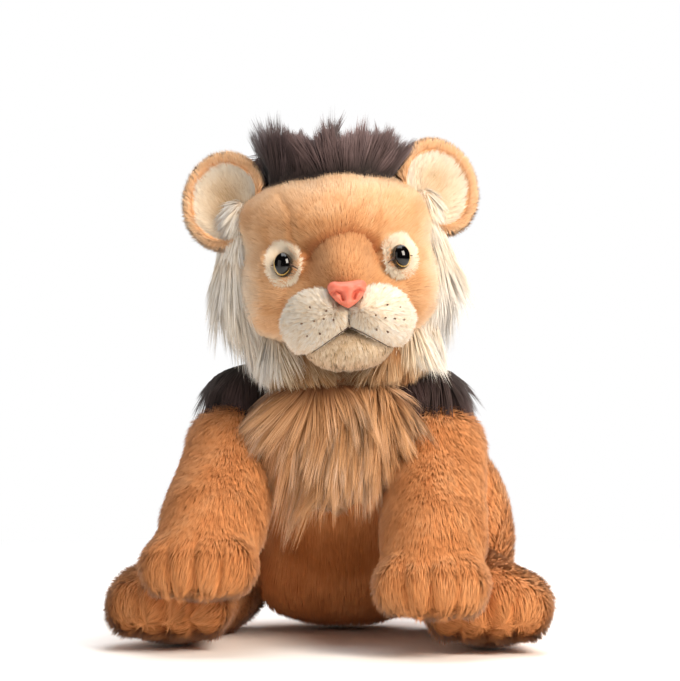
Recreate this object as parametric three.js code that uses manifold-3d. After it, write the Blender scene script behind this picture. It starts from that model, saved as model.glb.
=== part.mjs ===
import * as THREE from 'three';
import { mergeVertices } from 'three/addons/utils/BufferGeometryUtils.js';
import Module from 'manifold-3d';

const wasm = await Module();
wasm.setup();

const { Vector3 } = THREE;
const radians = THREE.MathUtils.degToRad;
const shares = (x, y, z) => new Vector3(x, y, z);

// A plush lion that sits by itself. Millimetres. It sits on z = 0 with its rump over the origin
// and looks along -Y, so +X is its own left side. Lean means ahead of the rump, lift above the floor.

// Clearances and walls
const seatGap = 0.4;
const looseGap = 1.3;
const pileGap = 2.3;
const turnGap = 0.6;
const turnRound = 5;
const plushWall = 6;
const floorCut = 0.5;
const seamRound = 14;
const smallSeamRound = 6;

// Torso
const rumpWidth = 150;
const rumpDepth = 118;
const rumpHeight = 100;
const chestWidth = 120;
const chestDepth = 84;
const chestHeight = 108;
const chestLean = 57;
const chestLift = 122;
const pelletBagWidth = 58;
const pelletBagDepth = 66;
const pelletBagHeight = 36;
const pelletBagLift = 36;
const pelletBagLean = 8;

// Neck seam: the head turns in a dish on top of the shoulders
const neckLean = 58;
const neckFloorLift = 152;
const neckRimLift = 195;
const neckRimRadius = 86;

// Head, in its own frame with the skull's centre at zero
const skullWidth = 120;
const skullDepth = 116;
const skullHeight = 110;
const skullLean = 61;
const skullLift = 242;
const headYaw = 8;
const headRoll = 4;

// Face
const padWidth = 46;
const padDepth = 38;
const padHeight = 41;
const padSpread = 35;
const padProud = 11;
const padDrop = 38;
const chinWidth = 54;
const chinDepth = 38;
const chinHeight = 28;
const chinProud = 3;
const chinRise = 1;
const noseWidth = 25;
const noseHeight = 17;
const noseDepth = 15;
const noseProud = 9;
const noseDrop = 21;
const nostrilBore = 2.4;
const eyeDiameter = 15;
const eyeDome = 5.5;
const eyeSink = 0.8;
const eyeSpread = 70;
const eyePatchWidth = 23;
const eyePatchHeight = 28;
const postDiameter = 4;
const postReach = 4;
const postSlack = 0.3;
const washerDiameter = 12;
const washerSeat = 0.8;
const washerThickness = 1.6;

// Ears
const earWidth = 54;
const earHeight = 62;
const earCup = 13;
const earWall = 6;
const earLiningWall = 3;
const earSpread = 128;
const earLean = -10;
const earLift = 40;
const earSplay = 20;
const earTilt = 12;

// Long pile
const crownWidth = 96;
const crownDepth = 60;
const crownHeight = 80;
const crownLean = 8;
const crownLift = 54;
const ruffWidth = 48;
const ruffDepth = 60;
const ruffHeight = 76;
const ruffSpread = 124;
const ruffDrop = 22;
const capeWidth = 172;
const capeDepth = 112;
const capeHeight = 100;
const capeLean = 34;
const capeLift = 150;
const bibWidth = 108;
const bibDepth = 68;
const bibHeight = 96;
const bibLean = 86;
const bibLift = 134;

// Forelegs
const shoulderSpread = 126;
const shoulderLean = 61;
const shoulderLift = 119;
const shoulderDiameter = 68;
const wristDiameter = 64;
const forepawWidth = 76;
const forepawDepth = 58;
const forepawHeight = 54;
const forepawLean = { left: 155, right: 149 };
const forepawLift = { left: 47, right: 57 };
const forepawSpread = { left: 66, right: 77 };
const forelegSwing = 15;

// Hind legs
const hipSpread = 152;
const hipLean = 3;
const haunchDiameter = 80;
const haunchHeight = 124;
const hockDiameter = 60;
const hindpawWidth = 86;
const hindpawDepth = 72;
const hindpawHeight = 59;
const hindpawLean = { left: 119, right: 113 };
const hindpawSpread = 99;
const hindlegSplay = 9;

// Tail
const tailRootDiameter = 26;
const tailDiameter = 19;
const tailTipDiameter = 15;
const tailRootBack = 48;
const tailRootLift = 28;
const tailReach = 100;
const tailBow = 78;
const tuftLength = 46;
const tuftDiameter = 30;

// How finely each form is faceted
const bodyFacets = 4;
const headFacets = 6;
const seatFacets = 4;
const limbFacets = 4;
const pileFacets = 3;
const smallFacets = 3;
const innerFacets = 2;
const turnFacets = 36;
const roundFacets = 12;
const weldTolerance = 1e-4;
const searchSteps = 40;

const sides = [
  { name: 'left', sign: 1 },
  { name: 'right', sign: -1 },
];

const colours = {
  tan: 0xd9a06a,
  orangeTan: 0xc98048,
  cream: 0xf3e6d6,
  ruffWhite: 0xe8ded0,
  maneBrown: 0x4a3a3a,
  bibBrown: 0xb58d66,
  earCream: 0xfbefd8,
  noseSalmon: 0xe07870,
  eyeBlack: 0x14100e,
  washerWhite: 0xe9e7e0,
  fibreWhite: 0xf7f6f2,
  pelletCloth: 0xcfc8bb,
};

function finish(colour, roughness) {
  return new THREE.MeshStandardMaterial({ color: colour, roughness, metalness: 0 });
}

const pile = (colour) => finish(colour, 0.95);
const plastic = (colour) => finish(colour, 0.2);

// Solids and geometry

function toSolid(geometry) {
  const bare = new THREE.BufferGeometry();
  bare.setAttribute('position', geometry.getAttribute('position'));
  bare.setIndex(geometry.getIndex());
  const merged = mergeVertices(bare, weldTolerance);
  const corners = merged.getIndex().array;
  const kept = [];
  for (let i = 0; i < corners.length; i += 3) {
    const [a, b, c] = corners.slice(i, i + 3);
    if (a !== b && b !== c && c !== a) kept.push(a, b, c);
  }
  return new wasm.Manifold(new wasm.Mesh({
    numProp: 3,
    vertProperties: new Float32Array(merged.getAttribute('position').array),
    triVerts: new Uint32Array(kept),
  }));
}

function toGeometry(solid) {
  const mesh = solid.getMesh();
  const geometry = new THREE.BufferGeometry();
  geometry.setAttribute('position', new THREE.BufferAttribute(mesh.vertProperties, 3));
  geometry.setIndex(new THREE.BufferAttribute(mesh.triVerts, 1));
  geometry.computeVertexNormals();
  return geometry;
}

const cutBy = (solid, cutters) => cutters.reduce((left, cutter) => left.subtract(cutter), solid);

// Stuffed forms: a form is a soft union of lobes (ellipsoids) and bones (tapered round bars).

function lobe(at, half) {
  return (p) => {
    const q = p.clone().sub(at).divide(half);
    const k0 = q.length();
    const k1 = q.divide(half).length();
    return k1 === 0 ? -Math.min(half.x, half.y, half.z) : (k0 * (k0 - 1)) / k1;
  };
}

function bone(from, to, radiusFrom, radiusTo) {
  const along = to.clone().sub(from);
  return (p) => {
    const share = THREE.MathUtils.clamp(p.clone().sub(from).dot(along) / along.lengthSq(), 0, 1);
    const axisPoint = from.clone().lerp(to, share);
    return p.distanceTo(axisPoint) - THREE.MathUtils.lerp(radiusFrom, radiusTo, share);
  };
}

// A lobe placed and sized by shares of another one.
function lobeByShares(at, half, atShares, halfShares) {
  return lobe(at.clone().add(half.clone().multiply(atShares)), half.clone().multiply(halfShares));
}

function softDistance(members, round, p) {
  return members.map((member) => member(p)).reduce((a, b) => {
    const nearness = Math.max(round - Math.abs(a - b), 0) / round;
    return Math.min(a, b) - (nearness * nearness * round) / 4;
  });
}

// The surface lies where a ray from the core leaves the form; grow moves it out by a length.
function stuffed({ members, round, core, reach, stretch = shares(1, 1, 1) }) {
  const distance = (p) => softDistance(members, round, p);
  const surfacePoint = (direction, grow = 0) => {
    let inside = 0;
    let outside = reach;
    for (let step = 0; step < searchSteps; step += 1) {
      const middle = (inside + outside) / 2;
      const probe = core.clone().addScaledVector(direction, middle);
      if (distance(probe) < grow) inside = middle;
      else outside = middle;
    }
    return core.clone().addScaledVector(direction, inside);
  };
  const geometry = (facets, grow = 0) => {
    const ball = new THREE.IcosahedronGeometry(1, facets);
    ball.deleteAttribute('normal');
    ball.deleteAttribute('uv');
    const merged = mergeVertices(ball, weldTolerance);
    const points = merged.getAttribute('position');
    const direction = new Vector3();
    for (let i = 0; i < points.count; i += 1) {
      direction.fromBufferAttribute(points, i).multiply(stretch).normalize();
      const p = surfacePoint(direction, grow);
      points.setXYZ(i, p.x, p.y, p.z);
    }
    return merged;
  };
  const solid = (facets, grow = 0) => toSolid(geometry(facets, grow));
  return { distance, surfacePoint, solid };
}

// The room that a turning form needs: the same form at several turns of its joint, as one form.
function sweptRoom({ members, round, core, reach, stretch }, pivot, axis, turns) {
  const turned = turns.map((turn) => (p) => (
    softDistance(members, round, p.clone().sub(pivot).applyAxisAngle(axis, -radians(turn)).add(pivot))
  ));
  return stuffed({ members: turned, round: turnRound, core, reach, stretch }).solid(limbFacets, turnGap);
}

// Slabs used for cuts
const slabSpan = 2 * (skullLift + crownHeight);

function slab(low, high) {
  const size = high.clone().sub(low);
  const box = new THREE.BoxGeometry(size.x, size.y, size.z);
  const middle = low.clone().add(high).divideScalar(2);
  return toSolid(box.translate(middle.x, middle.y, middle.z));
}

const belowFloor = slab(new Vector3(-slabSpan, -slabSpan, -slabSpan), new Vector3(slabSpan, slabSpan, 0));
const besideMiddle = (sign, gap) => {
  const near = (sign * gap) / 2;
  const far = sign * slabSpan;
  return slab(
    new Vector3(Math.min(near, far), -slabSpan, -slabSpan),
    new Vector3(Math.max(near, far), slabSpan, slabSpan),
  );
};

// A closed turned body about the Z axis from a profile of [radius, height] pairs, bottom to top.
function turnedBody(profile, segments) {
  const points = profile.map(([radius, height]) => new THREE.Vector2(radius, height));
  const geometry = new THREE.LatheGeometry(points, segments);
  return geometry.rotateX(Math.PI / 2);
}

// Neck dish: everything above it belongs to the head. A turned surface, so the head can turn.
function neckDish(grow) {
  const radiusShares = [0, 0.5, 0.7, 0.84];
  const liftShares = [0, 0, 0.12, 0.4];
  const rise = neckRimLift - neckFloorLift;
  const profile = radiusShares.map((share, i) => [
    share * neckRimRadius + (share > 0 ? grow : 0),
    neckFloorLift + liftShares[i] * rise - grow,
  ]);
  profile.push([neckRimRadius + grow, neckRimLift - grow]);
  profile.push([slabSpan, neckRimLift - grow], [slabSpan, slabSpan], [0, slabSpan]);
  return turnedBody(profile, turnFacets).translate(0, -neckLean, 0);
}

const torsoTopCut = toSolid(neckDish(turnGap));

// Torso form
const rumpAt = new Vector3(0, 0, rumpHeight / 2 - floorCut);
const rumpHalf = new Vector3(rumpWidth, rumpDepth, rumpHeight).divideScalar(2);
const chestAt = new Vector3(0, -chestLean, chestLift);
const chestHalf = new Vector3(chestWidth, chestDepth, chestHeight).divideScalar(2);

const torsoCore = rumpAt.clone().lerp(chestAt, 0.57);

const torso = stuffed({
  members: [
    lobe(rumpAt, rumpHalf),
    lobe(rumpAt.clone().lerp(chestAt, 0.6), rumpHalf.clone().lerp(chestHalf, 0.75)),
    lobe(chestAt, chestHalf),
    ...sides.map(({ sign }) => lobeByShares(
      chestAt,
      chestHalf,
      shares(sign * 0.72, 0.14, 0.2),
      shares(0.66, 0.86, 0.62),
    )),
  ],
  round: seamRound,
  core: torsoCore,
  reach: rumpWidth + chestHeight,
});

// Limb forms

const acrossAxis = new Vector3(1, 0, 0);
const upAxis = new Vector3(0, 0, 1);

function toes(pawAt, pawHalf) {
  const spreadShares = [-0.62, -0.22, 0.22, 0.62];
  const leanShares = [0.5, 0.72, 0.72, 0.5];
  return spreadShares.map((share, i) => lobeByShares(
    pawAt,
    pawHalf,
    shares(share, -leanShares[i], -0.14),
    shares(0.34, 0.36, 0.68),
  ));
}

function foreleg({ name, sign }) {
  const shoulder = new Vector3((sign * shoulderSpread) / 2, -shoulderLean, shoulderLift);
  const paw = new Vector3(sign * forepawSpread[name], -forepawLean[name], forepawLift[name]);
  const pawHalf = new Vector3(forepawWidth, forepawDepth, forepawHeight).divideScalar(2);
  const wrist = shoulder.clone().lerp(paw, 0.8);
  const shape = {
    members: [
      lobe(shoulder, new Vector3(1, 1, 1).multiplyScalar(shoulderDiameter / 2)),
      bone(shoulder, wrist, shoulderDiameter * 0.46, wristDiameter / 2),
      lobe(paw, pawHalf),
      ...toes(paw, pawHalf),
    ],
    round: smallSeamRound,
    core: shoulder.clone().lerp(paw, 0.55),
    reach: shoulder.distanceTo(paw) + forepawWidth,
    stretch: shares(1, 1.6, 1.6),
  };
  const room = sweptRoom(shape, shoulder, acrossAxis, [0, -forelegSwing / 2, -forelegSwing]);
  return { form: stuffed(shape), room, pivot: shoulder };
}

function hindleg({ name, sign }) {
  const hip = new Vector3((sign * hipSpread) / 2, -hipLean, haunchHeight / 2 - floorCut);
  const haunchHalf = new Vector3(haunchDiameter, haunchDiameter, haunchHeight).divideScalar(2);
  const pawHalf = new Vector3(hindpawWidth, hindpawDepth, hindpawHeight).divideScalar(2);
  const paw = new Vector3(sign * hindpawSpread, -hindpawLean[name], pawHalf.z - floorCut);
  const hockRadius = hockDiameter / 2;
  const knee = new Vector3(hip.x, hip.y, hockRadius).lerp(paw, 0.3).setZ(hockRadius);
  const ankle = new Vector3(hip.x, hip.y, hockRadius).lerp(paw, 0.8).setZ(hockRadius);
  const shape = {
    members: [
      lobe(hip, haunchHalf),
      bone(knee, ankle, hockRadius, hockRadius * 0.92),
      lobe(paw, pawHalf),
      ...toes(paw, pawHalf),
    ],
    round: seamRound,
    core: knee.clone().lerp(paw, 0.2),
    reach: haunchHeight + hip.distanceTo(paw),
    stretch: shares(1, 1.7, 1),
  };
  const room = sweptRoom(shape, hip, upAxis, [0, sign * hindlegSplay]);
  return { form: stuffed(shape), room, pivot: hip };
}

const forelegs = sides.map(foreleg);
const hindlegs = sides.map(hindleg);
const forelegRooms = forelegs.map(({ room }) => room);
const hindlegRooms = hindlegs.map(({ room }) => room);

// Tail: rings along a curved spine that lies on the floor beside the haunch.
const tailRoot = new Vector3(0, tailRootBack, tailRootLift);
const tailFloorLift = tailDiameter / 2 + seatGap;
const tailSpine = new THREE.CatmullRomCurve3([
  tailRoot,
  new Vector3(tailReach * 0.06, tailBow * 0.86, (tailRootLift + tailFloorLift) / 2),
  new Vector3(tailReach * 0.34, tailBow, tailFloorLift),
  new Vector3(tailReach * 0.74, tailBow * 0.95, tailFloorLift),
  new Vector3(tailReach, tailBow * 0.78, tailFloorLift),
]);

function tailGeometry(from, to, grow) {
  const rings = 10;
  const ringSides = 10;
  const capRings = 2;
  const radiusAt = (share) => grow + (share < 0.2
    ? THREE.MathUtils.lerp(tailRootDiameter, tailDiameter, share / 0.2)
    : THREE.MathUtils.lerp(tailDiameter, tailTipDiameter, (share - 0.2) / 0.8)) / 2;
  const stations = [];
  const addCap = (share, direction) => {
    for (let i = 1; i <= capRings; i += 1) {
      const angle = ((i / (capRings + 1)) * Math.PI) / 2;
      const ring = { share, slide: direction * Math.sin(angle), swell: Math.cos(angle) };
      if (direction < 0) stations.unshift(ring);
      else stations.push(ring);
    }
  };
  for (let i = 0; i <= rings; i += 1) {
    stations.push({ share: THREE.MathUtils.lerp(from, to, i / rings), slide: 0, swell: 1 });
  }
  addCap(from, -1);
  addCap(to, 1);
  const positions = [];
  const centreOf = ({ share, slide }) => tailSpine.getPointAt(share)
    .addScaledVector(tailSpine.getTangentAt(share), slide * radiusAt(share));
  stations.forEach((station) => {
    const tangent = tailSpine.getTangentAt(station.share);
    const across = upAxis.clone().cross(tangent).normalize();
    const up = tangent.clone().cross(across);
    const centre = centreOf(station);
    for (let k = 0; k < ringSides; k += 1) {
      const angle = (k / ringSides) * 2 * Math.PI;
      const radius = radiusAt(station.share) * station.swell;
      const p = centre.clone()
        .addScaledVector(across, radius * Math.cos(angle))
        .addScaledVector(up, radius * Math.sin(angle));
      positions.push(p.x, p.y, p.z);
    }
  });
  const first = centreOf({ share: from, slide: -1 });
  const last = centreOf({ share: to, slide: 1 });
  const firstIndex = positions.length / 3;
  positions.push(first.x, first.y, first.z, last.x, last.y, last.z);
  const index = [];
  for (let r = 0; r < stations.length - 1; r += 1) {
    for (let k = 0; k < ringSides; k += 1) {
      const a = r * ringSides + k;
      const b = r * ringSides + ((k + 1) % ringSides);
      index.push(a, b, b + ringSides, a, b + ringSides, a + ringSides);
    }
  }
  const lastRing = (stations.length - 1) * ringSides;
  for (let k = 0; k < ringSides; k += 1) {
    const next = (k + 1) % ringSides;
    index.push(firstIndex, next, k);
    index.push(firstIndex + 1, lastRing + k, lastRing + next);
  }
  const geometry = new THREE.BufferGeometry();
  geometry.setAttribute('position', new THREE.Float32BufferAttribute(positions, 3));
  geometry.setIndex(index);
  return geometry;
}

const tailEndShare = 0.92;
const tailSocket = new THREE.IcosahedronGeometry(tailRootDiameter / 2 + 2 * turnGap, smallFacets);
const tailRoom = toSolid(tailSocket.translate(tailRoot.x, tailRoot.y, tailRoot.z));
const tuftAt = tailSpine.getPointAt(1);
const tuftAim = tailSpine.getTangentAt(1);
const tuft = stuffed({
  members: [
    bone(
      tuftAt.clone().addScaledVector(tuftAim, -tuftLength * 0.16).setZ((tuftDiameter * 0.9) / 2),
      tuftAt.clone().addScaledVector(tuftAim, tuftLength * 0.3).setZ(tuftDiameter / 2),
      (tuftDiameter * 0.8) / 2,
      tuftDiameter / 2 + floorCut / 2,
    ),
  ],
  round: smallSeamRound,
  core: tuftAt.clone().setZ(tuftDiameter / 2),
  reach: 2 * tuftLength,
});

// Head form and what is sewn to it, all in the head's frame
const skullHalf = new Vector3(skullWidth, skullDepth, skullHeight).divideScalar(2);
const skullAt = new Vector3();
const head = stuffed({
  members: [
    lobe(skullAt, skullHalf),
    lobeByShares(skullAt, skullHalf, shares(0, -0.5, 0.36), shares(0.78, 0.62, 0.62)),
    ...sides.flatMap(({ sign }) => [
      lobeByShares(skullAt, skullHalf, shares(sign * 0.5, -0.38, -0.33), shares(0.55, 0.69, 0.66)),
      lobeByShares(skullAt, skullHalf, shares(sign * 0.48, -0.1, 0.44), shares(0.54, 0.7, 0.5)),
    ]),
    lobeByShares(skullAt, skullHalf, shares(0, -0.9, -0.16), shares(0.36, 0.56, 0.46)),
    lobeByShares(skullAt, skullHalf, shares(0, -0.86, -0.62), shares(0.57, 0.46, 0.44)),
    lobeByShares(skullAt, skullHalf, shares(0, 0.03, -1.08), shares(0.84, 0.76, 0.7)),
  ],
  round: seamRound,
  core: new Vector3(),
  reach: skullDepth + skullHeight,
});

const headPlace = new THREE.Group();
headPlace.position.set(0, -skullLean, skullLift);
headPlace.rotation.set(0, radians(-headRoll), radians(headYaw), 'ZYX');
headPlace.updateMatrixWorld(true);
const intoHead = headPlace.matrixWorld.clone().invert();
const headKeep = toSolid(neckDish(0).applyMatrix4(intoHead));
const headSeat = head.solid(headFacets, seatGap);
const pileSeat = head.solid(seatFacets, pileGap);

// Face pieces on posts: the post goes through the plush and a washer holds it from behind.
function onFace(geometry, at, aim) {
  const turn = new THREE.Quaternion().setFromUnitVectors(upAxis, aim);
  return geometry.clone().applyQuaternion(turn).translate(at.x, at.y, at.z);
}

function faceAim(at) {
  const probe = plushWall / 2;
  const slope = new Vector3(
    head.distance(at.clone().add(new Vector3(probe, 0, 0))) - head.distance(at),
    head.distance(at.clone().add(new Vector3(0, probe, 0))) - head.distance(at),
    head.distance(at.clone().add(new Vector3(0, 0, probe))) - head.distance(at),
  );
  return slope.normalize();
}

// How far the plush wall reaches behind a point of the face, along a post.
function wallBehind(at, aim) {
  const step = plushWall / 20;
  let depth = plushWall;
  while (depth < skullDepth && head.distance(at.clone().addScaledVector(aim, -depth)) > -plushWall) depth += step;
  return depth + washerSeat;
}

const postLength = (wall) => wall + washerThickness + postReach;

function eyeGeometry(wall, grow) {
  const rim = eyeDiameter / 2 + grow;
  const postRadius = postDiameter / 2 + grow;
  const end = -postLength(wall) - grow;
  const profile = [[0, end], [postRadius, end], [postRadius, -grow], [rim, -grow]];
  const steps = 5;
  for (let i = 1; i <= steps; i += 1) {
    const angle = ((i / steps) * Math.PI) / 2;
    profile.push([i === steps ? 0 : rim * Math.cos(angle), (eyeDome + grow) * Math.sin(angle)]);
  }
  return turnedBody(profile, roundFacets);
}

function washerGeometry(wall, grow) {
  const bore = postDiameter / 2 + postSlack - grow;
  const rim = washerDiameter / 2 + grow;
  const top = -wall + grow;
  const bottom = top - washerThickness - 2 * grow;
  return turnedBody([[bore, bottom], [rim, bottom], [rim, top], [bore, top], [bore, bottom]], roundFacets);
}

// The room in the filling behind the wall, for the post's end and the washer.
function pocketGeometry(wall) {
  const rim = washerDiameter / 2 + looseGap;
  const end = -postLength(wall) - looseGap;
  return turnedBody([[0, end], [rim, end], [rim, 0], [0, 0]], roundFacets);
}

const eyes = sides.map(({ sign }) => {
  const flat = new Vector3((sign * eyeSpread) / 2, -skullDepth, 0).normalize();
  const ahead = new Vector3((sign * eyeSpread) / 2, -eyeSpread * 0.62, 0).normalize();
  let at = head.surfacePoint(ahead);
  const grip = at.x / ((sign * eyeSpread) / 2);
  at = head.surfacePoint(new Vector3(ahead.x / grip, ahead.y, ahead.z).normalize());
  const aim = faceAim(at).lerp(flat, 0.35).normalize();
  const seat = at.addScaledVector(aim, -eyeSink);
  return { at: seat, aim, wall: wallBehind(seat, aim) };
});

function ovalThrough({ at, aim }, shrink) {
  const oval = new THREE.CylinderGeometry(1, 1, 2 * plushWall + washerDiameter, roundFacets);
  oval.rotateX(Math.PI / 2);
  oval.scale(eyePatchWidth / 2 - shrink, eyePatchHeight / 2 - shrink, 1);
  return toSolid(onFace(oval, at, aim));
}

// Nose: a rounded triangle with a flat wide top, domed in front by rings that draw in.
function noseOutline() {
  const half = noseWidth / 2;
  const top = noseHeight / 2;
  const outline = new THREE.Shape();
  outline.moveTo(0, -top);
  outline.quadraticCurveTo(half * 0.55, -top * 0.7, half * 0.9, top * 0.2);
  outline.quadraticCurveTo(half * 1.08, top * 0.95, half * 0.6, top);
  outline.quadraticCurveTo(0, top * 0.86, -half * 0.6, top);
  outline.quadraticCurveTo(-half * 1.08, top * 0.95, -half * 0.9, top * 0.2);
  outline.quadraticCurveTo(-half * 0.55, -top * 0.7, 0, -top);
  return outline.getPoints(4).slice(1);
}

function noseGeometry(grow) {
  const outline = noseOutline();
  const depthShares = [-1, -0.35, -0.12, -0.03];
  const widthShares = [1, 1, 0.86, 0.55];
  const positions = [];
  const ringAt = (widthShare, depth) => outline.forEach(({ x, y }) => {
    const out = new THREE.Vector2(x, y).setLength(grow);
    positions.push(x * widthShare + out.x, y * widthShare + out.y, depth);
  });
  depthShares.forEach((share, i) => ringAt(widthShares[i], share * noseDepth + (i > 0 ? grow : -grow)));
  const count = outline.length;
  const lastRing = (depthShares.length - 1) * count;
  const back = positions.length / 3;
  positions.push(0, 0, -noseDepth - grow, 0, 0, grow);
  const index = [];
  for (let k = 0; k < count; k += 1) {
    const next = (k + 1) % count;
    for (let ring = 0; ring < lastRing; ring += count) {
      index.push(ring + k, ring + next, ring + next + count, ring + k, ring + next + count, ring + k + count);
    }
    index.push(back, next, k);
    index.push(back + 1, lastRing + k, lastRing + next);
  }
  const geometry = new THREE.BufferGeometry();
  geometry.setAttribute('position', new THREE.Float32BufferAttribute(positions, 3));
  geometry.setIndex(index);
  return geometry;
}

function nostril(sign) {
  const width = noseWidth / 2;
  const height = noseHeight / 2;
  const path = new THREE.QuadraticBezierCurve3(
    new Vector3(sign * width * 0.3, -height * 0.25, 0),
    new Vector3(sign * width * 0.42, height * 0.3, 0),
    new Vector3(sign * width * 0.82, height * 0.24, -nostrilBore),
  );
  const section = new THREE.Shape().absarc(0, 0, nostrilBore / 2, 0, 2 * Math.PI);
  return new THREE.ExtrudeGeometry(section, {
    extrudePath: path, steps: 4, curveSegments: 4, bevelEnabled: false,
  });
}

const noseAim = new Vector3(0, -1, 0);
const noseRoot = head.surfacePoint(new Vector3(0, -skullDepth * 0.7, -noseDrop).normalize());
const noseFront = noseRoot.clone().addScaledVector(noseAim, noseProud);
const noseWall = wallBehind(noseRoot, noseAim);
const upright = (geometry, at) => geometry.clone().rotateX(Math.PI / 2).translate(at.x, at.y, at.z);

function nosePost(grow) {
  const radius = postDiameter / 2 + grow;
  const end = -postLength(noseWall) - grow;
  const top = noseProud / 3;
  return turnedBody([[0, end], [radius, end], [radius, top], [0, top]], roundFacets);
}

const noseBlock = toSolid(upright(noseGeometry(0), noseFront))
  .subtract(headSeat)
  .add(toSolid(onFace(nosePost(0), noseRoot, noseAim)));
const noseSolid = cutBy(noseBlock, sides.map(({ sign }) => toSolid(upright(nostril(sign), noseFront))));
const noseRoom = toSolid(upright(noseGeometry(seatGap), noseFront));
const nosePostRoom = toSolid(onFace(nosePost(postSlack), noseRoot, noseAim));

// Head skin with the eye patches let in, the openings for the posts, and the neck left open.
const headInner = head.solid(innerFacets, -plushWall);
const headShell = head.solid(headFacets).subtract(headInner).intersect(headKeep);
const eyeRooms = eyes.map(({ at, aim, wall }) => toSolid(onFace(eyeGeometry(wall, seatGap), at, aim)));
const posts = [...eyes, { at: noseRoot, aim: noseAim, wall: noseWall }];
const washerRooms = posts.map(({ at, aim, wall }) => toSolid(onFace(washerGeometry(wall, seatGap / 2), at, aim)));
const headSkin = cutBy(headShell, [
  ...eyes.map((eye) => ovalThrough(eye, 0)),
  ...eyeRooms,
  ...washerRooms,
  nosePostRoom,
]);
const eyePatches = eyes.map((eye, i) => (
  headShell.intersect(ovalThrough(eye, seatGap)).subtract(eyeRooms[i]).subtract(washerRooms[i])
));
const pockets = posts.map(({ at, aim, wall }) => toSolid(onFace(pocketGeometry(wall), at, aim)));
const headFilling = cutBy(
  head.solid(innerFacets, -plushWall - seatGap).intersect(headKeep),
  pockets,
);

// Muzzle pads and chin
const padHalf = new Vector3(padWidth, padDepth, padHeight).divideScalar(2);
const chinHalf = new Vector3(chinWidth, chinDepth, chinHeight).divideScalar(2);
const padForms = sides.map(({ sign }) => {
  const at = new Vector3((sign * padSpread) / 2, -skullDepth / 2 - padProud, -padDrop);
  return stuffed({ members: [lobe(at, padHalf)], round: smallSeamRound, core: at, reach: padWidth });
});
const chinAt = new Vector3(0, -skullDepth / 2 - chinProud, chinRise - skullHeight / 2);
const chinForm = stuffed({
  members: [lobe(chinAt, chinHalf)], round: smallSeamRound, core: chinAt, reach: chinWidth,
});
const pads = padForms.map((form, i) => cutBy(
  form.solid(smallFacets).intersect(besideMiddle(sides[i].sign, seatGap)),
  [headSeat, noseRoom],
));
const chin = cutBy(chinForm.solid(innerFacets), [
  headSeat,
  ...padForms.map((form) => form.solid(smallFacets, seatGap)),
]);

// Ears: a dished oval of plush with a cream lining in the cup.
function earDish(widthAcross, heightUp, wall, lift, grow) {
  const radiusShares = [0, 0.45, 0.75, 0.94];
  const front = radiusShares.map((share) => [share, earCup * share * share + lift + wall / 2 + grow]);
  const back = radiusShares.map((share) => [share, earCup * share * share + lift - wall / 2 - grow]);
  const profile = [...back, [1, earCup + lift], ...front.reverse()];
  const geometry = turnedBody(profile, roundFacets);
  return geometry.scale(widthAcross / 2 + grow, heightUp / 2 + grow, 1);
}

function placedEar(geometry, sign) {
  const turn = new THREE.Matrix4().makeRotationFromEuler(
    new THREE.Euler(radians(90 - earTilt), 0, sign * radians(earSplay), 'ZYX'),
  );
  return geometry.applyMatrix4(turn).translate((sign * earSpread) / 2, -earLean, earLift);
}

const liningShare = 0.78;
const earSkins = sides.map(({ sign }) => toSolid(
  placedEar(earDish(earWidth, earHeight, earWall, 0, 0), sign),
).subtract(headSeat));
const earRooms = sides.map(({ sign }) => toSolid(
  placedEar(earDish(earWidth, earHeight, earWall, 0, seatGap), sign),
));
const earPileRooms = sides.map(({ sign }) => toSolid(placedEar(
  earDish(earWidth, earHeight, earWall + 3 * earLiningWall, earLiningWall, looseGap),
  sign,
)));
const earLinings = sides.map(({ sign }, i) => toSolid(placedEar(
  earDish(earWidth * liningShare, earHeight * liningShare, earLiningWall, earWall / 2, 0),
  sign,
)).subtract(headSeat).subtract(earRooms[i]));

// Long pile on the head: the two ruff panels, then the crown with the back of the mane.
const ruffHalf = new Vector3(ruffWidth, ruffDepth, ruffHeight).divideScalar(2);
const ruffForms = sides.map(({ sign }) => {
  const at = new Vector3((sign * ruffSpread) / 2, 0, -ruffDrop);
  return stuffed({
    members: [
      lobe(at, ruffHalf),
      lobeByShares(at, ruffHalf, shares(sign * -0.12, 0.14, 1), shares(0.78, 0.86, 0.9)),
      lobeByShares(at, ruffHalf, shares(sign * -0.7, -0.4, -1), shares(1.4, 1, 0.95)),
      lobeByShares(at, ruffHalf, shares(sign * -1.8, -0.95, -1.26), shares(1, 0.8, 0.6)),
    ],
    round: seamRound,
    core: at.clone().add(shares(sign * -0.4, -0.3, -0.5).multiply(ruffHalf)),
    reach: 2 * ruffHeight,
  });
});
const crownAt = new Vector3(0, -crownLean, crownLift);
const crownHalf = new Vector3(crownWidth, crownDepth, crownHeight).divideScalar(2);
const crownForm = stuffed({
  members: [
    lobe(crownAt, crownHalf),
    lobeByShares(crownAt, crownHalf, shares(0, 1.2, -0.2), shares(1.2, 1.15, 1.15)),
    lobeByShares(crownAt, crownHalf, shares(0, 1.55, -1.5), shares(1.3, 1.5, 1.7)),
  ],
  round: seamRound,
  core: new Vector3(0, crownDepth / 2, crownLift / 2),
  reach: 2 * skullHeight,
});
const ruffs = ruffForms.map((form, i) => cutBy(
  form.solid(pileFacets).intersect(besideMiddle(sides[i].sign, seatGap)).intersect(headKeep),
  [pileSeat, earPileRooms[i], chinForm.solid(innerFacets, seatGap)],
));
const crown = cutBy(crownForm.solid(pileFacets).intersect(headKeep), [
  pileSeat,
  ...earPileRooms,
  ...ruffForms.map((form) => form.solid(pileFacets, seatGap)),
]);

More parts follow.
